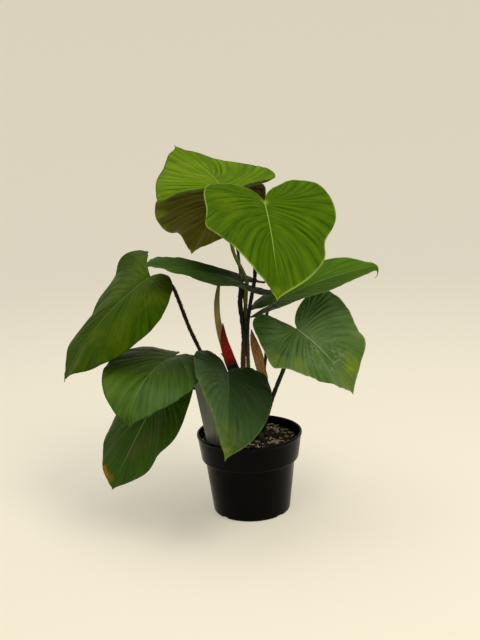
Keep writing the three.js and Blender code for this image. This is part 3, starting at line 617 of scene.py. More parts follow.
def leaf_material(name, look):
    """Streaks along the veins, pale ribs and margin, blots, a painted greyish sheen, and a plainer lower
    face.
    """
    s = Shader(name, Specular_IOR_Level=look["gloss"], Sheen_Weight=look["sheen"], Sheen_Roughness=0.5)
    around, across, pleat = s.parts(s.stored_vector("veins"))
    pleat_shade, rib, margin = s.parts(s.stored_vector("lines"))
    yellow, brown, scratched = s.parts(s.stored_vector("blots"))
    flat = s.stored_vector("flat")
    on_left = s.scale(across, -0.10, 0.10)
    streaks = s.noise(s.join(s.times(around, look["grain"]), s.times(across, 1.3)), 0.34, 0.66, detail=2)
    fine = s.noise(s.join(s.times(around, 180), s.times(across, 2.6)), 0.35, 0.7, detail=2)
    clouds = s.noise(flat, scale=24.0, detail=4.0)
    patches = s.noise(flat, 0.35, 0.62, scale=130.0, detail=4.0)
    # The tone mixes the real streaks with painted shade that darkens the pleats' valleys.
    tone = s.add(s.times(streaks, 0.80 - look["pleat_shade_share"]), s.times(pleat_shade, look["pleat_shade_share"]),
                 s.times(fine, 0.32), -0.05)
    lines = leaf_lines(s, look, across, pleat)
    # Painted greyish sheen that stands for a reflection: patchy, and stronger on one half.
    painted_sheen = s.add(0.2, s.times(fine, 0.4), s.scale(clouds, 0.40, 0.64, 0.0, 0.9))
    web = s.times(s.net(flat, 0.0, 0.07, scale=95.0), s.scale(clouds, 0.42, 0.6))
    scuffs = s.add(web, s.times(s.scale(patches, 0.7, 1.0), 0.5))
    # Upper face: real patches, veins and blots, plus painted shade on one half and a painted greyish sheen.
    upper = s.coats(
        look["dark"], (tone, look["light"]),
        (s.times(s.scale(clouds, 0.52, 0.72), look["warmth"]), look["warm"]), (lines, look["vein"]),
        (s.by_side(on_left, *look["shade"]), PAINTED_SHADE_COLOUR),
        (s.times(s.by_side(on_left, *look["painted_sheen"]), painted_sheen), PAINTED_SHEEN_COLOUR),
        (s.times(yellow, s.add(0.35, s.times(patches, 0.65))), look["spot"]),
        (s.times(brown, patches), BROWNED), (s.times(scratched, scuffs, 0.7), SCRATCHED))
    lower = s.coats(
        look["under"], (s.times(tone, 0.6), look["dark"]), (s.times(lines, 1.2), look["under_vein"]),
        (s.times(yellow, 0.8), YELLOWED), (s.times(brown, s.add(0.4, patches)), BROWNED_UNDER))
    base = s.coats(
        # Painted shadow blots darken both faces.
        lower, (s.stored("upper"), upper), (rib, look["rib"]), (s.stored("painted_shadow"), PAINTED_SHADE_COLOUR),
        # Margin line: partly the rim's own colour, partly painted light and shade on the rim.
        (s.times(margin, s.scale(clouds, 0.36, 0.54)), look["edge"]))
    rough = s.noise(flat, 0.3, 0.7, 0.40, 0.54, scale=60.0)
    height = s.add(s.times(fine, 0.6), s.noise(flat, scale=900.0, detail=2.0))
    return s.finish(base, rough, height, 0.25, depth=0.0003)


def stalk_material(name, look, joint):
    """Round stalk whose colour turns from foot to top and to the joint's, with streaks and dark bristles."""
    s = Shader(name, Specular_IOR_Level=0.25)
    streaks = s.noise((420, 420, 16), 0.42, 0.66)
    blotches = s.noise((90, 90, 50), 0.4, 0.62, detail=4.0)
    uneven = s.times(s.noise((60, 60, 30)), 0.3)
    turn = s.scale(s.add(s.stored("along"), uneven, -0.1), *look["turn"])
    base = s.coats(
        look["foot"], (turn, look["top"]), (s.times(streaks, 0.55), look["streak"]),
        (s.times(blotches, 0.35), "1a100a"), (s.times(s.stored("hair"), 0.75), "1c0e08"),
        (s.stored("joint"), joint))
    return s.finish(base, s.scale(blotches, 0, 1, 0.5, 0.62), streaks, 0.3)


def sheath_material(name, look):
    """Dry papery sheath with ribs along it, a darker foot, and on one of them a net of fibres."""
    s = Shader(name, Specular_IOR_Level=0.25)
    along, across = s.stored("along"), s.stored("across")
    ribs = s.noise(s.join(s.times(across, 9), s.times(along, 3)), 0.33, 0.67, detail=4)
    blotches = s.noise((90, 90, 60), 0.42, 0.6, detail=4.0)
    net = s.net(s.join(s.times(across, 4), s.times(along, 44)), 0.03, 0.16, randomness=0.8)
    foot = s.scale(along, look["foot_reach"] - 0.15, look["foot_reach"], 1.0, 0.0)
    edge = s.scale(s.math("ABSOLUTE", across), 0.8, 1.0, 0.0, 0.7)
    base = s.coats(
        look["deep"], (ribs, look["pale"]), (s.times(blotches, 0.4), look["deep"]),
        (s.times(net, look["net"]), look["foot"]), (foot, look["foot"]),
        (s.scale(along, 0.7, 1.0, 0.0, 0.8), look["top"]), (edge, look["foot"]))
    return s.finish(base, s.scale(ribs, 0, 1, 0.7, 0.5), s.add(ribs, s.times(net, -look["net"])), 0.5)


def stem_material():
    s = Shader("stem", Specular_IOR_Level=0.3)
    bands = s.noise((40, 40, 260), 0.35, 0.65, detail=4.0)
    patches = s.noise((120, 120, 120), 0.42, 0.6, detail=4.0)
    base = s.coats("2f2c16", (bands, "5f6430"), (s.times(patches, 0.7), "4a3a22"))
    return s.finish(base, s.scale(bands, 0, 1, 0.75, 0.55), bands, 0.6, depth=0.0006)


def root_material():
    s = Shader("dry_root", Specular_IOR_Level=0.2)
    grain = s.noise((300, 300, 120), detail=5.0)
    return s.finish(s.coats("17120c", (s.scale(grain, 0.3, 0.7), "3a2c1c")), 0.85, grain, 0.8)


def pot_material():
    """Moulded black plastic: fine orange-peel, faint vertical drag lines and dull smudges."""
    s = Shader("pot_plastic", Specular_IOR_Level=0.06)
    smudges = s.noise((14, 14, 22), 0.40, 0.70, detail=5.0, rough=0.6)
    peel = s.noise((1, 1, 1), scale=1500.0, detail=2.0)
    drag = s.noise((160, 160, 8), detail=2.0)
    dust = s.noise((500, 500, 500), 0.66, 0.76, 0.0, 0.25)
    base = s.coats("010101", (smudges, "040505"), (dust, "151513"))
    height = s.add(peel, s.times(drag, 1.5))
    return s.finish(base, s.scale(smudges, 0, 1, 0.20, 0.36), height, 0.12, depth=0.0002)


def soil_material():
    s = Shader("potting_mix", Specular_IOR_Level=0.2)
    crumbs = s.node("TexVoronoi", {"Vector": s.place(1, 1, 1), "Scale": 420.0}).outputs["Distance"]
    tones = s.noise((90, 90, 90), 0.35, 0.68, detail=6.0, rough=0.65)
    base = s.coats("181613", (tones, "564e42"), (s.scale(crumbs, 0.0, 0.35, 0.5, 0.0), "9a8e7c"))
    return s.finish(base, 0.95, s.add(crumbs, tones), 0.9, depth=0.0012)


def chip_material(name, dark, light, scale):
    s = Shader(name, Specular_IOR_Level=0.2)
    grain = s.noise((scale, scale, scale * 0.5), 0.35, 0.65, detail=4.0)
    return s.finish(s.coats(dark, (grain, light)), 0.9, grain, 0.7, depth=0.0006)


def label_material():
    """Pale plastic with grime, dark runs down it, and painted shade that darkens it towards its top."""
    s = Shader("label_plastic", Specular_IOR_Level=0.4)
    grime = s.noise((50, 50, 50), 0.42, 0.75, detail=5.0, rough=0.6)
    runs = s.noise((230, 230, 12), 0.46, 0.62)
    # Painted shade: the label darkens from its foot towards its top.
    base = s.coats("b0afa5", (s.scale(s.stored("along"), 0.15, 0.6), "84857e"),
                   (s.times(grime, 0.4), "66665e"), (s.times(runs, 0.5), "504f46"))
    peel = s.noise((1, 1, 1), scale=1200.0, detail=2.0)
    return s.finish(base, s.scale(grime, 0, 1, 0.38, 0.6), peel, 0.1, depth=0.0001)


# ---------------- leaf blades

def waves_on(leaf, side, u):
    """Each wave of that side: how strong it is at u, how far it draws in and how far it lifts."""
    return [(np.exp(-((u - at) / WAVE_WIDTH) ** 2), inward, lift)
            for wave_side, at, inward, lift in leaf.get("waves", []) if wave_side == side]


def margin_points(leaf, side, u):
    """Flat margin of one half, at each u from 0 at the notch to 1 at the tip."""
    half, lobe = (leaf[key][0 if side > 0 else 1] for key in ("half", "lobe"))
    widened = {1: leaf.get("notch", 0), 2: leaf.get("notch", 0) / 2}
    outline = [(along * lobe if along < 0 else along ** leaf["shoulder"] * leaf["length"],
                across * half + widened.get(i, 0)) for i, (along, across) in enumerate(HEART)]
    margin = curve_points(outline, u)
    x, y = margin[..., 0], margin[..., 1]
    for strength, inward, _ in waves_on(leaf, side, u):
        y = y - inward * strength * np.clip(margin[..., 1] / 10, 0, 1)
    return x, y


def vein_points(leaf, side, u, v):
    """Flat place of the point at share v along vein u: a vein curves out from the midrib."""
    fan = np.maximum(u - VEIN_FAN, 0) / (1 - VEIN_FAN)
    start = MIDRIB_REACH * leaf["length"] * fan ** VEIN_CROWDING
    end_x, end_y = margin_points(leaf, side, u)
    bend_x = start + VEIN_BEND[0] * (end_x - start)
    bend_y = VEIN_BEND[1] * end_y
    w = 1 - v
    return (w * w * start + 2 * w * v * bend_x + v * v * end_x,
            2 * w * v * bend_y + v * v * end_y)


def arc(s, start, rate):
    """Arc of a line of length s that starts at angle `start` and bends by `rate` for each mm."""
    rate = np.where(np.abs(rate) < 1e-9, 1e-9, rate)
    end = start + rate * s
    return (np.sin(end) - np.sin(start)) / rate, (np.cos(start) - np.cos(end)) / rate


def blade_points(leaf, x, y, lift=0.0):
    """Places in the plant of flat points: x along the midrib and y to its left."""
    length, hook_start = leaf["length"], HOOK_START * leaf["length"]
    ahead, left = x >= 0, y >= 0
    lobe = sum(leaf["lobe"]) / 2
    rate = np.where(ahead, -math.radians(leaf["arch"]) / length, -math.radians(leaf["droop"]) / lobe)
    hook_rate = rate - math.radians(leaf["hook"]) / (length - hook_start)
    straight = np.minimum(np.abs(x), hook_start)
    hooked = np.maximum(x - hook_start, 0)
    along, up = arc(straight, 0.0, rate)
    along_hook, up_hook = arc(hooked, rate * straight, hook_rate)
    slope = np.where(ahead, 1, -1) * (rate * straight + hook_rate * hooked)
    fold = np.radians(np.where(left, *leaf["fold"]))
    cup_rate = np.where(left, *(math.radians(c) / h for c, h in zip(leaf["cup"], leaf["half"])))
    across, raised = arc(np.abs(y), fold, cup_rate)
    across = np.where(left, across, -across)
    twist = math.radians(leaf["twist"]) * x / length
    sideways = across * np.cos(twist) - raised * np.sin(twist)
    raised = across * np.sin(twist) + raised * np.cos(twist) + lift
    sweep = np.where(x > 0, 0.5 * math.radians(leaf["sweep"]) / length * x * x, 0)
    local = np.stack([np.where(ahead, along + along_hook, -along) - raised * np.sin(slope),
                      sideways + sweep,
                      up + up_hook + raised * np.cos(slope)], axis=-1)
    turn = turned((leaf["heading"], "Z"), (-leaf["pitch"], "Y"), (leaf["roll"], "X"))
    return local @ np.array(turn.to_3x3()).T + leaf["at"]


def half_grid(leaf, side, u, v):
    """What one half knows at each of its vertices: spacing is the mm between veins there."""
    x, y = vein_points(leaf, side, u, v)
    out = unit(np.stack([np.gradient(x, axis=1), np.gradient(y, axis=1)], axis=-1))
    spacing = np.gradient(x, axis=0) * out[..., 1] - np.gradient(y, axis=0) * out[..., 0]
    lift = v * v * sum((rise * strength for strength, _, rise in waves_on(leaf, side, u)), 0 * u)
    return dict(x=x, y=side * y, u=u, v=side * v, lift=lift, out_x=out[..., 0], out_y=side * out[..., 1],
                spacing=np.abs(spacing) * BLADE_CELLS / PLEATS)


def blade_grid(leaf):
    """The blade's middle surface: what is known at each vertex, and the faces, for both halves."""
    u, v = np.meshgrid(np.linspace(0, 1, BLADE_CELLS + 1), BLADE_ROWS, indexing="ij")
    halves = [half_grid(leaf, side, u, v) for side in (1, -1)]
    grid = {key: np.concatenate([half[key].ravel() for half in halves]) for key in halves[0]}
    keys = np.round(np.stack([grid["x"], grid["y"]], axis=1), 3)
    _, first, kept = np.unique(keys, axis=0, return_index=True, return_inverse=True)
    left, right = kept.reshape(2, *u.shape)
    quads = []
    for half, winding in ((left, 1), (right, -1)):
        corners = np.stack([half[:-1, :-1], half[1:, :-1], half[1:, 1:], half[:-1, 1:]], axis=-1)
        quads += [tuple(dict.fromkeys(q)) for q in corners.reshape(-1, 4)[:, ::winding].tolist()]
    return {key: values[first] for key, values in grid.items()}, [q for q in quads if len(q) > 2]


def blade_relief(leaf, grid, seed):
    """The height in mm of pleats, margin ripples and slow swells, the pleats' painted shade and their count.
    """
    u, v, side = grid["u"], np.abs(grid["v"]), np.sign(grid["v"])
    depth = 0.75 + 0.35 * wander(seed + 1, u * 12, grid["v"] * 2)
    pleat = PLEATS * u + 0.3 * wander(seed, u * 6, side)
    small = 2 * np.abs(np.sin(math.pi * (pleat - 0.5))) ** 0.7 - 1
    broad = 2 * np.abs(np.sin(math.pi * (pleat - 0.5) / MAIN_EVERY)) ** 0.7 - 1
    finer = np.cos(6 * math.pi * pleat)
    width = np.minimum(1, np.abs(grid["y"]) / 14)
    fade = smoothstep(0.02, 0.22, v) * (1 - 0.55 * smoothstep(0.7, 1, v)) * width
    pleats = leaf["pleat"] * fade * depth * (
        (0.95 * small + 0.12 * finer) * np.minimum(1, grid["spacing"] / PLEAT_SPACE)
        + 0.55 * broad * np.minimum(1, grid["spacing"] / MAIN_SPACE))
    off_midrib = smoothstep(0, 10, np.abs(grid["y"]))
    margin = MARGIN_RIPPLE * v ** 4 * wander(seed + 2, u * 11, side * 3)
    swells = SWELL_HEIGHT * ripples(np.stack([grid["x"], grid["y"]], axis=1), SWELL_LENGTH, seed + 3)
    # Painted pleat shade: lighter on the crests, darker in the valleys.
    pleat_shade = 0.5 + 0.5 * (0.75 * small + 0.25 * broad + 0.15 * finer) * depth * smoothstep(0.0, 0.15, v)
    return pleats + off_midrib * (margin + swells), np.clip(pleat_shade, 0, 1), pleat


def blade_ribs(leaf, grid, pleat):
    """How far the midrib and the side veins stand out at each vertex, and the midrib's pale line."""
    along, y, v = grid["x"] / leaf["length"], grid["y"], np.abs(grid["v"])
    taper = 1 - 0.75 * np.clip(along, 0, 1)
    rib = np.exp(-(y / (0.7 + 0.9 * taper)) ** 2) * (along >= 0) * smoothstep(0, 0.12, 1 - along)
    turn = (pleat - 0.5) / MAIN_EVERY
    valley = np.abs(turn - np.round(turn)) * MAIN_EVERY
    side_rib = np.exp(-(valley / 0.09) ** 2) * smoothstep(0.0, 0.1, v) * (1 - smoothstep(0.6, 0.95, v))
    line = np.exp(-(y / (0.30 + 0.65 * taper)) ** 4) * (grid["x"] >= -1)
    return rib * taper, side_rib * smoothstep(1, 4, grid["spacing"]), line


def blot_share(blots, x, y):
    """How strongly each flat place lies in any of the round, soft-edged blots."""
    total = np.zeros_like(x)
    for along, across, radius, share in blots:
        away = np.hypot(x - along, y - across) / radius
        total = np.maximum(total, share * (1 - smoothstep(0.35, 1.25, away)))
    return total


def make_blade(name, leaf, seed):
    look = {**PLAIN_LOOK, **LEAF_LOOKS[name]}
    grid, quads = blade_grid(leaf)
    x, y, v = grid["x"], grid["y"], np.abs(grid["v"])
    middle = blade_points(leaf, x, y, grid["lift"])
    relief, pleat_shade, pleat = blade_relief(leaf, grid, seed)
    middle = middle + vertex_normals(middle, quads) * relief[:, None]
    rib, side_rib, line = blade_ribs(leaf, grid, pleat)
    half = BLADE_THICKNESS / 2 * (1 - 0.45 * smoothstep(0.93, 1, v) * smoothstep(0, 4, np.abs(y)))
    above = half - MIDRIB_GROOVE * rib - SIDE_RIB_GROOVE * side_rib
    below = half + MIDRIB_DEPTH * rib + SIDE_RIB_DEPTH * side_rib
    points, faces = closed_sheet(middle, quads, above[:, None], below[:, None])
    piece = make_piece("leaf_" + name, points, faces, leaf_material("leaf_" + name, look),
                       ["blade_" + name], sharp=60)
    line *= 1 - smoothstep(look["rib_reach"] - 0.25, look["rib_reach"] + 0.1, x / leaf["length"])
    # lines carries the painted pleat shade, the midrib's pale line and the margin line.
    stored = dict(
        veins=(grid["u"], grid["v"], pleat),
        flat=(x * METRES + seed, y * METRES + seed, 0 * x),
        lines=(pleat_shade, 0.9 * line, 0.85 * smoothstep(0.978, 0.994, v)),
        blots=[blot_share(look[kind], x, y) for kind in ("yellow", "brown", "scratches")])
    for key, values in stored.items():
        add_values(piece, key, np.tile(np.stack(values, axis=1), (2, 1)))
    # Painted shadow blots, which darken both faces.
    add_values(piece, "painted_shadow", np.tile(blot_share(look["painted_shadow"], x, y), 2))
    add_values(piece, "upper", np.repeat([1.0, 0.0], len(middle)))
    bake_blade(piece, grid, len(middle), len(quads))


def bake_blade(piece, grid, count, faces):
    """Flat layout of a blade: upper face on the left, lower face on the right, rim as a thin strip."""
    flat = np.stack([grid["y"], grid["x"]], axis=1)
    out = np.stack([grid["out_y"], grid["out_x"]], axis=1)
    low, high = flat.min(0) - 4, flat.max(0) + 4
    size = (high - low) * (2, 1)
    upper = (flat - low) / size
    strip = (flat + 1.5 * out - low) / size
    corners = np.empty(len(piece.data.loops), int)
    piece.data.loops.foreach_get("vertex_index", corners)
    totals = np.empty(len(piece.data.polygons), int)
    piece.data.polygons.foreach_get("loop_total", totals)
    places = np.concatenate([upper, upper + (0.5, 0)])[corners]
    rim_start = totals[:2 * faces].sum()
    rim = corners[rim_start:]
    places[rim_start:] = np.where((rim < count)[:, None], upper[rim % count], strip[rim % count])
    layer = piece.data.uv_layers.new(name="OFBake")
    layer.data.foreach_set("uv", places.astype(np.float32).ravel())


# ---------------- stalks, stems and roots

def rod_rings(route, sides, step):
    """Centres, tangents and unit circles along a route, with each one's share and distance along it."""
    shares = np.linspace(0, 1, ROUTE_SAMPLES)
    length = np.linalg.norm(np.diff(curve_points(route, shares), axis=0), axis=1).cumsum()
    length = np.concatenate([[0], length])
    along = np.linspace(0, length[-1], max(int(length[-1] / step), 4) + 1)
    t = np.interp(along, length, shares)
    centres = curve_points(route, t)
    tangents = unit(np.gradient(centres, axis=0))
    off_route = (0.31, 0.87, 0.12)
    normal = unit(np.cross(tangents[0], off_route))
    cos, sin = (part(circle_angles(sides))[:, None] for part in (np.cos, np.sin))
    circles = []
    for tangent in tangents:
        normal = unit(normal - tangent * normal.dot(tangent))
        circles.append(cos * normal + sin * np.cross(tangent, normal))
    return centres, tangents, np.array(circles), t, along


def add_bristles(points, faces, centres, tangents, circles, radii, look, rng):
    """Short stiff hairs, each a slim closed cone rooted in the stalk and leaning towards the leaf."""
    length = np.linalg.norm(np.diff(centres, axis=0), axis=1).sum()
    for _ in range(int(look["crowd"] * length)):
        i = rng.integers(2, int(JOINT_START * len(centres)))
        k = rng.integers(circles.shape[1])
        out, along = circles[i, k], tangents[i]
        root = centres[i] + out * (radii[i] * 0.85) + along * rng.uniform(-0.8, 0.8)
        reach = radii[i] * 0.15 + look["bristle"] * rng.uniform(0.4, 1.0)
        if rng.uniform() > 0.12 + i / (len(centres) * look["turn"][1]):
            continue
        lean = unit(out + along * rng.uniform(-0.3, 0.8) + rng.normal(size=3) * 0.18)
        side = unit(np.cross(lean, along + 0.01))
        other = np.cross(lean, side)
        thick = rng.uniform(0.45, 0.85)
        first = len(points)
        for angle in (0.0, 2.1, 4.2):
            points.append(root + thick * (math.cos(angle) * side + math.sin(angle) * other))
        points.append(root + lean * reach)
        faces += [(first + 2, first + 1, first), (first, first + 1, first + 3),
                  (first + 1, first + 2, first + 3), (first + 2, first, first + 3)]


def underside(leaf, x, depth):
    """Point that lies `depth` below the blade's midrib at x."""
    here, ahead = blade_points(leaf, np.array([x, x + 0.5]), np.zeros(2))
    left, right = blade_points(leaf, np.full(2, x), np.array([0.5, -0.5]))
    return here - unit(np.cross(ahead - here, left - right)) * depth


def make_stalk(name, leaf, seed):
    look = {**PLAIN_STALK, **STALK_LOOKS.get(name, {})}
    end_radius = leaf["stalk_radius"] * STALK_TAPER
    route = [*leaf["stalk"], underside(leaf, 0, end_radius + 0.2),
             underside(leaf, leaf.get("stalk_under", STALK_UNDER), end_radius * 0.8)]
    centres, tangents, circles, t, along = rod_rings(route, STALK_SIDES, STALK_STEP)
    radii = leaf["stalk_radius"] * (1 - (1 - STALK_TAPER) * t)
    radii *= 1 + JOINT_SWELL * smoothstep(JOINT_START - 0.03, JOINT_START, t)
    radii *= 1 - 0.35 * smoothstep(0.985, 1, t)
    radii *= 1 + 0.035 * wander(seed, along / 9, 0)
    grid = radii[:, None] * (1 + 0.03 * np.cos(3 * circle_angles(STALK_SIDES) + 0.8))
    points = list((centres[:, None] + circles * grid[..., None]).reshape(-1, 3))
    faces = rod_faces(len(centres) - 1, STALK_SIDES)
    skin = len(points)
    add_bristles(points, faces, centres, tangents, circles, radii, look, np.random.default_rng(seed))
    material = stalk_material("leafstalk_" + name, look, LEAF_LOOKS[name]["rib"])
    piece = make_piece("leafstalk_" + name, points, faces, material, ["stalk_" + name])
    heights = np.array(points)[:, 2]
    add_values(piece, "along", (heights - heights.min()) / np.ptp(heights))
    add_values(piece, "hair", np.arange(len(points)) >= skin)
    joint = np.zeros(len(points))
    joint[:skin] = np.repeat(smoothstep(0.945, 0.96, t), STALK_SIDES)
    add_values(piece, "joint", joint)


def make_rod(name, node, rod, sides, step, relief, material):
    """Rod along its points with its radii, whose skin stands out by relief(points, distance along)."""
    centres, _, circles, t, along = rod_rings(rod["points"], sides, step)
    grid = centres[:, None] + circles * curve_points(rod["radii"], t)[:, None, None]
    points = (grid + circles * relief(grid, along)[..., None]).reshape(-1, 3)
    make_piece(name, points, rod_faces(len(centres) - 1, sides), material, [node])


def make_stem(name, stem, material, seed):
    """Woody stem with raised ring scars where old leaves fell."""
    def relief(grid, along):
        scars = np.zeros_like(along)
        for at in np.arange(6, along[-1], SCAR_SPACING):
            scars += 0.55 * np.exp(-((along - at) / 0.9) ** 2)
            scars -= 0.35 * np.exp(-((along - at - 2) / 1.2) ** 2)
        rough = 0.35 * ripples(grid, 7, seed) + 0.18 * ripples(grid, 2.5, seed + 1)
        return np.minimum(scars[:, None] + rough, 0.9)
    make_rod("cane_" + name, name, stem, STEM_SIDES, STEM_STEP, relief, material)


def make_aerial_root(material):
    """Dry, slightly wrinkled stub."""
    def relief(grid, _):
        return 0.22 * ripples(grid, 3, 71)
    make_rod("root_above_mix", "aerial_root", AERIAL_ROOT, ROOT_SIDES, ROOT_STEP, relief, material)


# ---------------- papery sheaths

def make_sheath(name, sheath, seed):
    """Thin trough of dry skin, curled in along both edges and wrinkled."""
    rows, columns = 150, 28
    t, s = np.linspace(0, 1, rows), np.linspace(-1, 1, columns)
    centres = curve_points(sheath["points"], t)
    widths = curve_points(sheath["widths"], t)[:, None]
    tangents = unit(np.gradient(centres, axis=0))
    front = unit(np.array((0, -1, 0)) + tangents * tangents[:, 1:2])
    bow = sheath["curl"] * math.pi / 2
    side = widths * np.sin(s * bow) / math.sin(bow)
    depth = widths * ((np.cos(s * bow) - math.cos(bow)) / math.sin(bow) - 0.4) * 0.6
    depth += np.minimum(SHEATH_WRINKLE, widths * 0.16) * wander(seed, s * 3, t[:, None] * 9)
    middle = (centres[:, None] + np.cross(tangents, front)[:, None] * side[..., None]
              + front[:, None] * depth[..., None]).reshape(-1, 3)
    quads = [(a, a + 1, a + 1 + columns, a + columns)
             for i in range(rows - 1) for a in range(i * columns, (i + 1) * columns - 1)]
    points, faces = closed_sheet(middle, quads, SHEATH_PAPER / 2, SHEATH_PAPER / 2)
    material = sheath_material("dry_" + name, sheath)
    piece = make_piece("dry_" + name, points, faces, material, [name])
    add_values(piece, "along", np.tile(np.repeat(t, columns), 2))
    add_values(piece, "across", np.tile(np.tile(s, rows), 2))


# ---------------- pot, potting mix and label

def rounded(profile):
    """The profile with each inner corner replaced by a short arc."""
    result = [profile[0]]
    for before, here, after in zip(profile, profile[1:], profile[2:]):
        here, back, on = (np.array(p, float) for p in (here, before, after))
        reach = min(POT_CORNER, np.linalg.norm(back - here) / 2.2, np.linalg.norm(on - here) / 2.2)
        start = here + unit(back - here) * reach
        end = here + unit(on - here) * reach
        for t in np.linspace(0, 1, CORNER_STEPS):
            result.append(tuple((1 - t) ** 2 * start + 2 * t * (1 - t) * here + t * t * end))
    return [*result, profile[-1]]


def pot_inside():
    """Inner corners of the pot's wall, from the rim down to the floor."""
    collar_foot = POT_HEIGHT - POT_COLLAR_HEIGHT
    return [
        (POT_RIM_RADIUS - POT_LIP, POT_HEIGHT - POT_ROUND),
        (POT_COLLAR_FOOT_RADIUS - POT_WALL, collar_foot + 2 * POT_ROUND),
        (POT_BODY_TOP_RADIUS - POT_WALL, collar_foot),
        (POT_FOOT_RADIUS - POT_WALL, POT_FLOOR + POT_ROUND),
        (POT_FOOT_RADIUS - POT_WALL - POT_ROUND, POT_FLOOR),
    ]


def pot_profile():
    collar_foot = POT_HEIGHT - POT_COLLAR_HEIGHT
    return rounded([
        (0, 0), (POT_FOOT_RADIUS - POT_FOOT_ROUND, 0),
        (POT_FOOT_RADIUS - POT_FOOT_ROUND / 4, POT_FOOT_ROUND / 4),
        (POT_FOOT_RADIUS, POT_FOOT_ROUND), (POT_BODY_TOP_RADIUS, collar_foot - POT_ROUND),
        (POT_COLLAR_FOOT_RADIUS - POT_ROUND, collar_foot - POT_ROUND / 2),
        (POT_COLLAR_FOOT_RADIUS, collar_foot + POT_ROUND),
        (POT_RIM_RADIUS - POT_ROUND, POT_HEIGHT - POT_RIM_BAND - POT_ROUND),
        (POT_RIM_RADIUS, POT_HEIGHT - POT_RIM_BAND), (POT_RIM_RADIUS, POT_HEIGHT - POT_ROUND),
        (POT_RIM_RADIUS - POT_ROUND, POT_HEIGHT), (POT_RIM_RADIUS - POT_LIP + POT_ROUND, POT_HEIGHT),
        *pot_inside(), (0, POT_FLOOR),
    ])


def drain_cutter():
    """Blocks round the foot of the pot, where its drain notches are."""
    blocks = bmesh.new()
    place = Matrix.Translation(Vector((POT_FOOT_RADIUS, 0, 0)) * METRES)
    size = Vector((DRAIN_DEPTH, DRAIN_WIDTH, 2 * DRAIN_HEIGHT)) * METRES
    for k in range(DRAIN_COUNT):
        turn = Matrix.Rotation(2 * math.pi * (k + 0.5) / DRAIN_COUNT, 4, "Z")
        bmesh.ops.create_cube(blocks, size=1.0, matrix=turn @ place @ Matrix.Diagonal((*size, 1)))
    mesh = bpy.data.meshes.new("drains")
    blocks.to_mesh(mesh)
    blocks.free()
    return add_object("drains", mesh)


def make_pot(material):
    """Pot turned from its profile, with the drain notches cut through its foot."""
    profile = pot_profile()
    rings = [level_ring(POT_SIDES, radius, height) for radius, height in profile[1:-1]]
    points, faces = ringed((0, 0, 0), rings, (0, 0, POT_FLOOR))
    pot = make_piece("grower_pot", points, faces, material, ["pot"], sharp=35)
    cutter = drain_cutter()
    cut = pot.modifiers.new("drains", "BOOLEAN")
    cut.object, cut.operation, cut.solver = cutter, "DIFFERENCE", "EXACT"
    bpy.context.view_layer.update()
    shape = pot.evaluated_get(bpy.context.evaluated_depsgraph_get())
    finished = bpy.data.meshes.new_from_object(shape)
    pot.modifiers.remove(cut)
    pot.data = finished
    bpy.data.objects.remove(cutter)


def soil_height(x, y):
    """Lumpy top of the mix: coarse mounds, bark-sized lumps and crumbs."""
    places = np.stack([x, y], axis=-1)
    return SOIL_TOP + sum(height * ripples(places, length, 21 + number)
                          for number, (height, length) in enumerate(SOIL_LUMPS))


def make_soil(material):
    """The mix as one body, a lumpy top on a plug that fills the pot. Gives its top's radius."""
    inside = pot_inside()
    (lip, lip_height), (collar, collar_height) = inside[:2]
    edge = np.interp(SOIL_TOP, (collar_height, lip_height), (collar, lip)) - SOIL_EDGE
    rings = [level_ring(POT_SIDES, radius - SOIL_GAP, height + SOIL_GAP)
             for radius, height in inside[:0:-1]]
    for i in range(SOIL_RINGS):
        ring = level_ring(POT_SIDES, edge * (1 - i / SOIL_RINGS), 0.0)
        ring[:, 2] = soil_height(ring[:, 0], ring[:, 1])
        rings.append(ring)
    points, faces = ringed((0, 0, POT_FLOOR + SOIL_GAP), rings, (0, 0, soil_height(0, 0)))
    make_piece("potting_mix", points, faces, material, ["soil"], sharp=80)
    return edge


def lump_shape():
    """Points and faces of a small ball to be squashed into chips."""
    ball = bmesh.new()
    bmesh.ops.create_icosphere(ball, subdivisions=2, radius=1)
    points = np.array([v.co for v in ball.verts])
    faces = [tuple(v.index for v in f.verts) for f in ball.faces]
    ball.free()
    return points, faces


# Round places on the mix where no chip lies, (x, y, radius): the two stems and the label.
KEEP_CLEAR = [(-2, 4, 10), (15, 6, 8)] + [
    (LABEL_FOOT_LEFT[0] + x, LABEL_FOOT_LEFT[1], 6) for x in (14, 4, 24)]


def random_place(rng, reach, share=1.0):
    """Random place in that share of the area of a disc."""
    radius = reach * math.sqrt(rng.uniform(0, share))
    angle = rng.uniform(0, 2 * math.pi)
    return radius * math.cos(angle), radius * math.sin(angle)


def scatter_lumps(name, count, sizes, stretch, material, edge, seed, sink):
    """Small closed lumps lying on the mix, as one piece."""
    rng = np.random.default_rng(seed)
    ball, ball_faces = lump_shape()
    points, faces = [], []
    while len(points) < count * len(ball):
        x, y = random_place(rng, edge, 0.95)
        size = rng.uniform(*sizes)
        if any(math.hypot(x - sx, y - sy) < clear + size for sx, sy, clear in KEEP_CLEAR):
            continue
        if math.hypot(x, y) + size * 1.5 > edge:
            continue
        shape = ball * (stretch * rng.uniform(0.75, 1.25, 3)) * size
        shape *= 1 + 0.3 * ripples(ball * 1.7, 1.0, int(rng.integers(1 << 30)))[:, None]
        turn = Matrix.Rotation(rng.uniform(0, 2 * math.pi), 3, "Z")
        turn = turn @ Matrix.Rotation(rng.normal() * 0.35, 3, "X")
        lift = soil_height(x, y) + size * stretch[2] * (1 - 2 * sink)
        first = len(points)
        points += list(shape @ np.array(turn).T + (x, y, lift))
        faces += [tuple(i + first for i in face) for face in ball_faces]
    make_piece(name, points, faces, material, sharp=35)


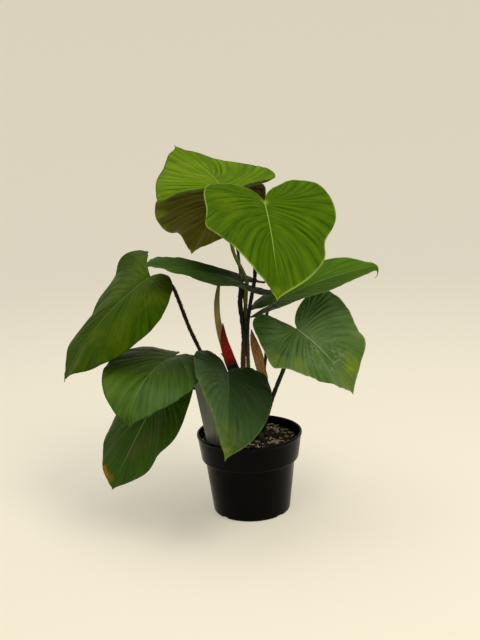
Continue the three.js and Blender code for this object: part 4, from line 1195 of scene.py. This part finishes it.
def make_fibres(material, edge):
    """Coir strands that lie on the mix."""
    rng = np.random.default_rng(33)
    points, faces = [], []
    for _ in range(FIBRE_COUNT):
        x, y = random_place(rng, edge * 0.9)
        heading = rng.uniform(0, 2 * math.pi)
        route = []
        for _ in range(5):
            route.append((x, y, soil_height(x, y) + rng.uniform(0.2, 1.6)))
            heading += rng.normal() * 0.6
            x += FIBRE_STEP * math.cos(heading)
            y += FIBRE_STEP * math.sin(heading)
        if max(math.hypot(px, py) for px, py, _ in route) > edge - 1:
            continue
        centres, _, circles, _, _ = rod_rings(route, 4, 1.6)
        faces += rod_faces(len(centres) - 1, 4, len(points))
        points += list((centres[:, None] + circles * rng.uniform(0.14, 0.26)).reshape(-1, 3))
    make_piece("fibres", points, faces, material, sharp=80)


def label_outline(height):
    """Flat outline of the label from its pointed foot up, with rounded upper corners."""
    sides = np.linspace(LABEL_POINT, height - LABEL_CORNER, 14)[1:-1]
    outline = [(0, LABEL_POINT), (LABEL_SHOULDER, 0), (LABEL_WIDTH - LABEL_SHOULDER, 0),
               (LABEL_WIDTH, LABEL_POINT), *((LABEL_WIDTH, y) for y in sides)]
    for centre, start in ((LABEL_WIDTH - LABEL_CORNER, 0), (LABEL_CORNER, 90)):
        for angle in np.radians(np.linspace(start, start + 90, 7)):
            outline.append((centre + LABEL_CORNER * math.cos(angle),
                            height - LABEL_CORNER + LABEL_CORNER * math.sin(angle)))
    return np.array(outline + [(0, y) for y in sides[::-1]])


def make_label(material):
    """Flat plastic stake with softened edges."""
    top, foot = np.array(LABEL_TOP_LEFT, float), np.array(LABEL_FOOT_LEFT, float)
    height = np.linalg.norm(top - foot)
    up = unit(top - foot)
    right = np.cross(up, (0, -1, 0))
    flat = label_outline(height)
    inner = flat - unit(flat - flat.mean(0)) * LABEL_EDGE
    half = LABEL_THICKNESS / 2
    layers = [(inner, half), (flat, half - LABEL_EDGE), (flat, LABEL_EDGE - half), (inner, -half)]
    points = [foot + right * x + up * y + np.array((0, back, 0)) for shape, back in layers
              for x, y in shape]
    faces = rod_faces(len(layers) - 1, len(flat))
    piece = make_piece("plant_label", points, faces, material, ["label"], sharp=30)
    add_values(piece, "along", np.tile(flat[:, 1] / height, len(layers)))


# ---------------- the plant

def build_plant():
    for number, (name, leaf) in enumerate(LEAVES.items()):
        make_blade(name, leaf, seed=10 * number + 1)
        make_stalk(name, leaf, seed=10 * number + 5)
    stem = stem_material()
    for number, (name, values) in enumerate(STEMS.items()):
        make_stem(name, values, stem, seed=200 + 10 * number)
    for number, (name, values) in enumerate(SHEATHS.items()):
        make_sheath(name, values, seed=300 + number)
    make_aerial_root(root_material())


def build_pot():
    make_pot(pot_material())
    edge = make_soil(soil_material())
    bark = chip_material("bark", "15110d", "4a3c2e", 250)
    pale_bark = chip_material("pale_bark", "94795a", "f0d6aa", 250)
    flakes = chip_material("flakes", "d6c298", "fff8e0", 500)
    scatter_lumps("bark_chips", 420, (1.4, 4.4), (1.3, 0.9, 0.5), bark, edge, 41, sink=0.35)
    scatter_lumps("pale_chips", 130, (1.0, 3.4), (1.9, 0.6, 0.4), pale_bark, edge, 42, sink=0.1)
    scatter_lumps("pale_flakes", 190, (0.8, 3.1), (2.2, 0.6, 0.4), flakes, edge, 43, sink=0)
    make_fibres(pale_bark, edge)
    make_label(label_material())


# ---------------- camera, lights and backdrop

CAMERA_PLACE = Vector((0, -1266.4, 553.5)) * METRES
CAMERA_YAW = -0.34               # from +Y towards +X
CAMERA_PITCH = 11.53             # below level
CAMERA_ROLL = 2.25
CAMERA_LENS = 48.97

BACKDROP_SIDES = 96
FLOOR_RADIUS = 2400
BACKDROP_BEND = 1400
BACKDROP_TOP = 4200
FLOOR_DROP = 0.5                 # how far the shadow floor lies below the pot


def add_camera():
    data = bpy.data.cameras.new("camera")
    data.lens = CAMERA_LENS
    data.sensor_width = 36
    data.clip_end = 50
    camera = add_object("camera", data)
    turn = turned((-CAMERA_YAW, "Z"), (90 - CAMERA_PITCH, "X"), (-CAMERA_ROLL, "Z"))
    camera.matrix_world = Matrix.Translation(CAMERA_PLACE) @ turn
    bpy.context.scene.camera = camera


def add_area_light(name, place, size, power, tint):
    """Round light that shines on the middle of the plant, with its place and size in metres."""
    data = bpy.data.lights.new(name, "AREA")
    data.shape, data.size, data.energy = "DISK", size, power
    data.color = colour(tint)[:3]
    direction = Vector((0, 0, 0.3)) - Vector(place)
    turn = direction.to_track_quat("-Z", "Y").to_matrix().to_4x4()
    add_object(name, data).matrix_world = Matrix.Translation(place) @ turn


def backdrop_material():
    s = Shader("backdrop", Roughness=0.85, Specular_IOR_Level=0.2)
    s.surface.inputs["Base Color"].default_value = colour("dcd5c3")
    s.surface.inputs["Emission Color"].default_value = colour("e2dcca")
    s.surface.inputs["Emission Strength"].default_value = 0.47
    return s.material


def add_backdrop():
    """Pale floor that sweeps up into a round wall, wide enough to look at the plant from all sides."""
    profile = [(600, 0), (1400, 0), (FLOOR_RADIUS, 0)]
    for angle in np.radians(np.linspace(0, 90, 20))[1:]:
        profile.append((FLOOR_RADIUS + BACKDROP_BEND * math.sin(angle),
                        BACKDROP_BEND * (1 - math.cos(angle))))
    profile.append((FLOOR_RADIUS + BACKDROP_BEND, BACKDROP_TOP))
    points, faces = ringed((0, 0, 0), [level_ring(BACKDROP_SIDES, *corner) for corner in profile])
    material = backdrop_material()
    mesh = smooth_mesh("backdrop", points, [face[::-1] for face in faces], material)
    backdrop = add_object("backdrop", mesh)
    backdrop.visible_diffuse = False
    disc = level_ring(BACKDROP_SIDES, FLOOR_RADIUS, -FLOOR_DROP)
    floor = add_object("floor", smooth_mesh("floor", disc, [tuple(range(BACKDROP_SIDES))], material))
    floor.visible_camera = False


def light_scene():
    scene = bpy.context.scene
    scene.view_settings.view_transform = "Standard"
    world = bpy.data.worlds.new("world")
    world.use_nodes = True
    background = world.node_tree.nodes["Background"]
    background.inputs["Color"].default_value = colour("f4f1ea")
    background.inputs["Strength"].default_value = 0.42
    scene.world = world
    add_area_light("key", (0.8, -0.9, 2.2), 1.2, 20, "fff6e8")
    add_area_light("overhead", (-0.3, 0.2, 2.4), 1.8, 12, "fbfaf6")


add_camera()
add_backdrop()
light_scene()
build_plant()
build_pot()
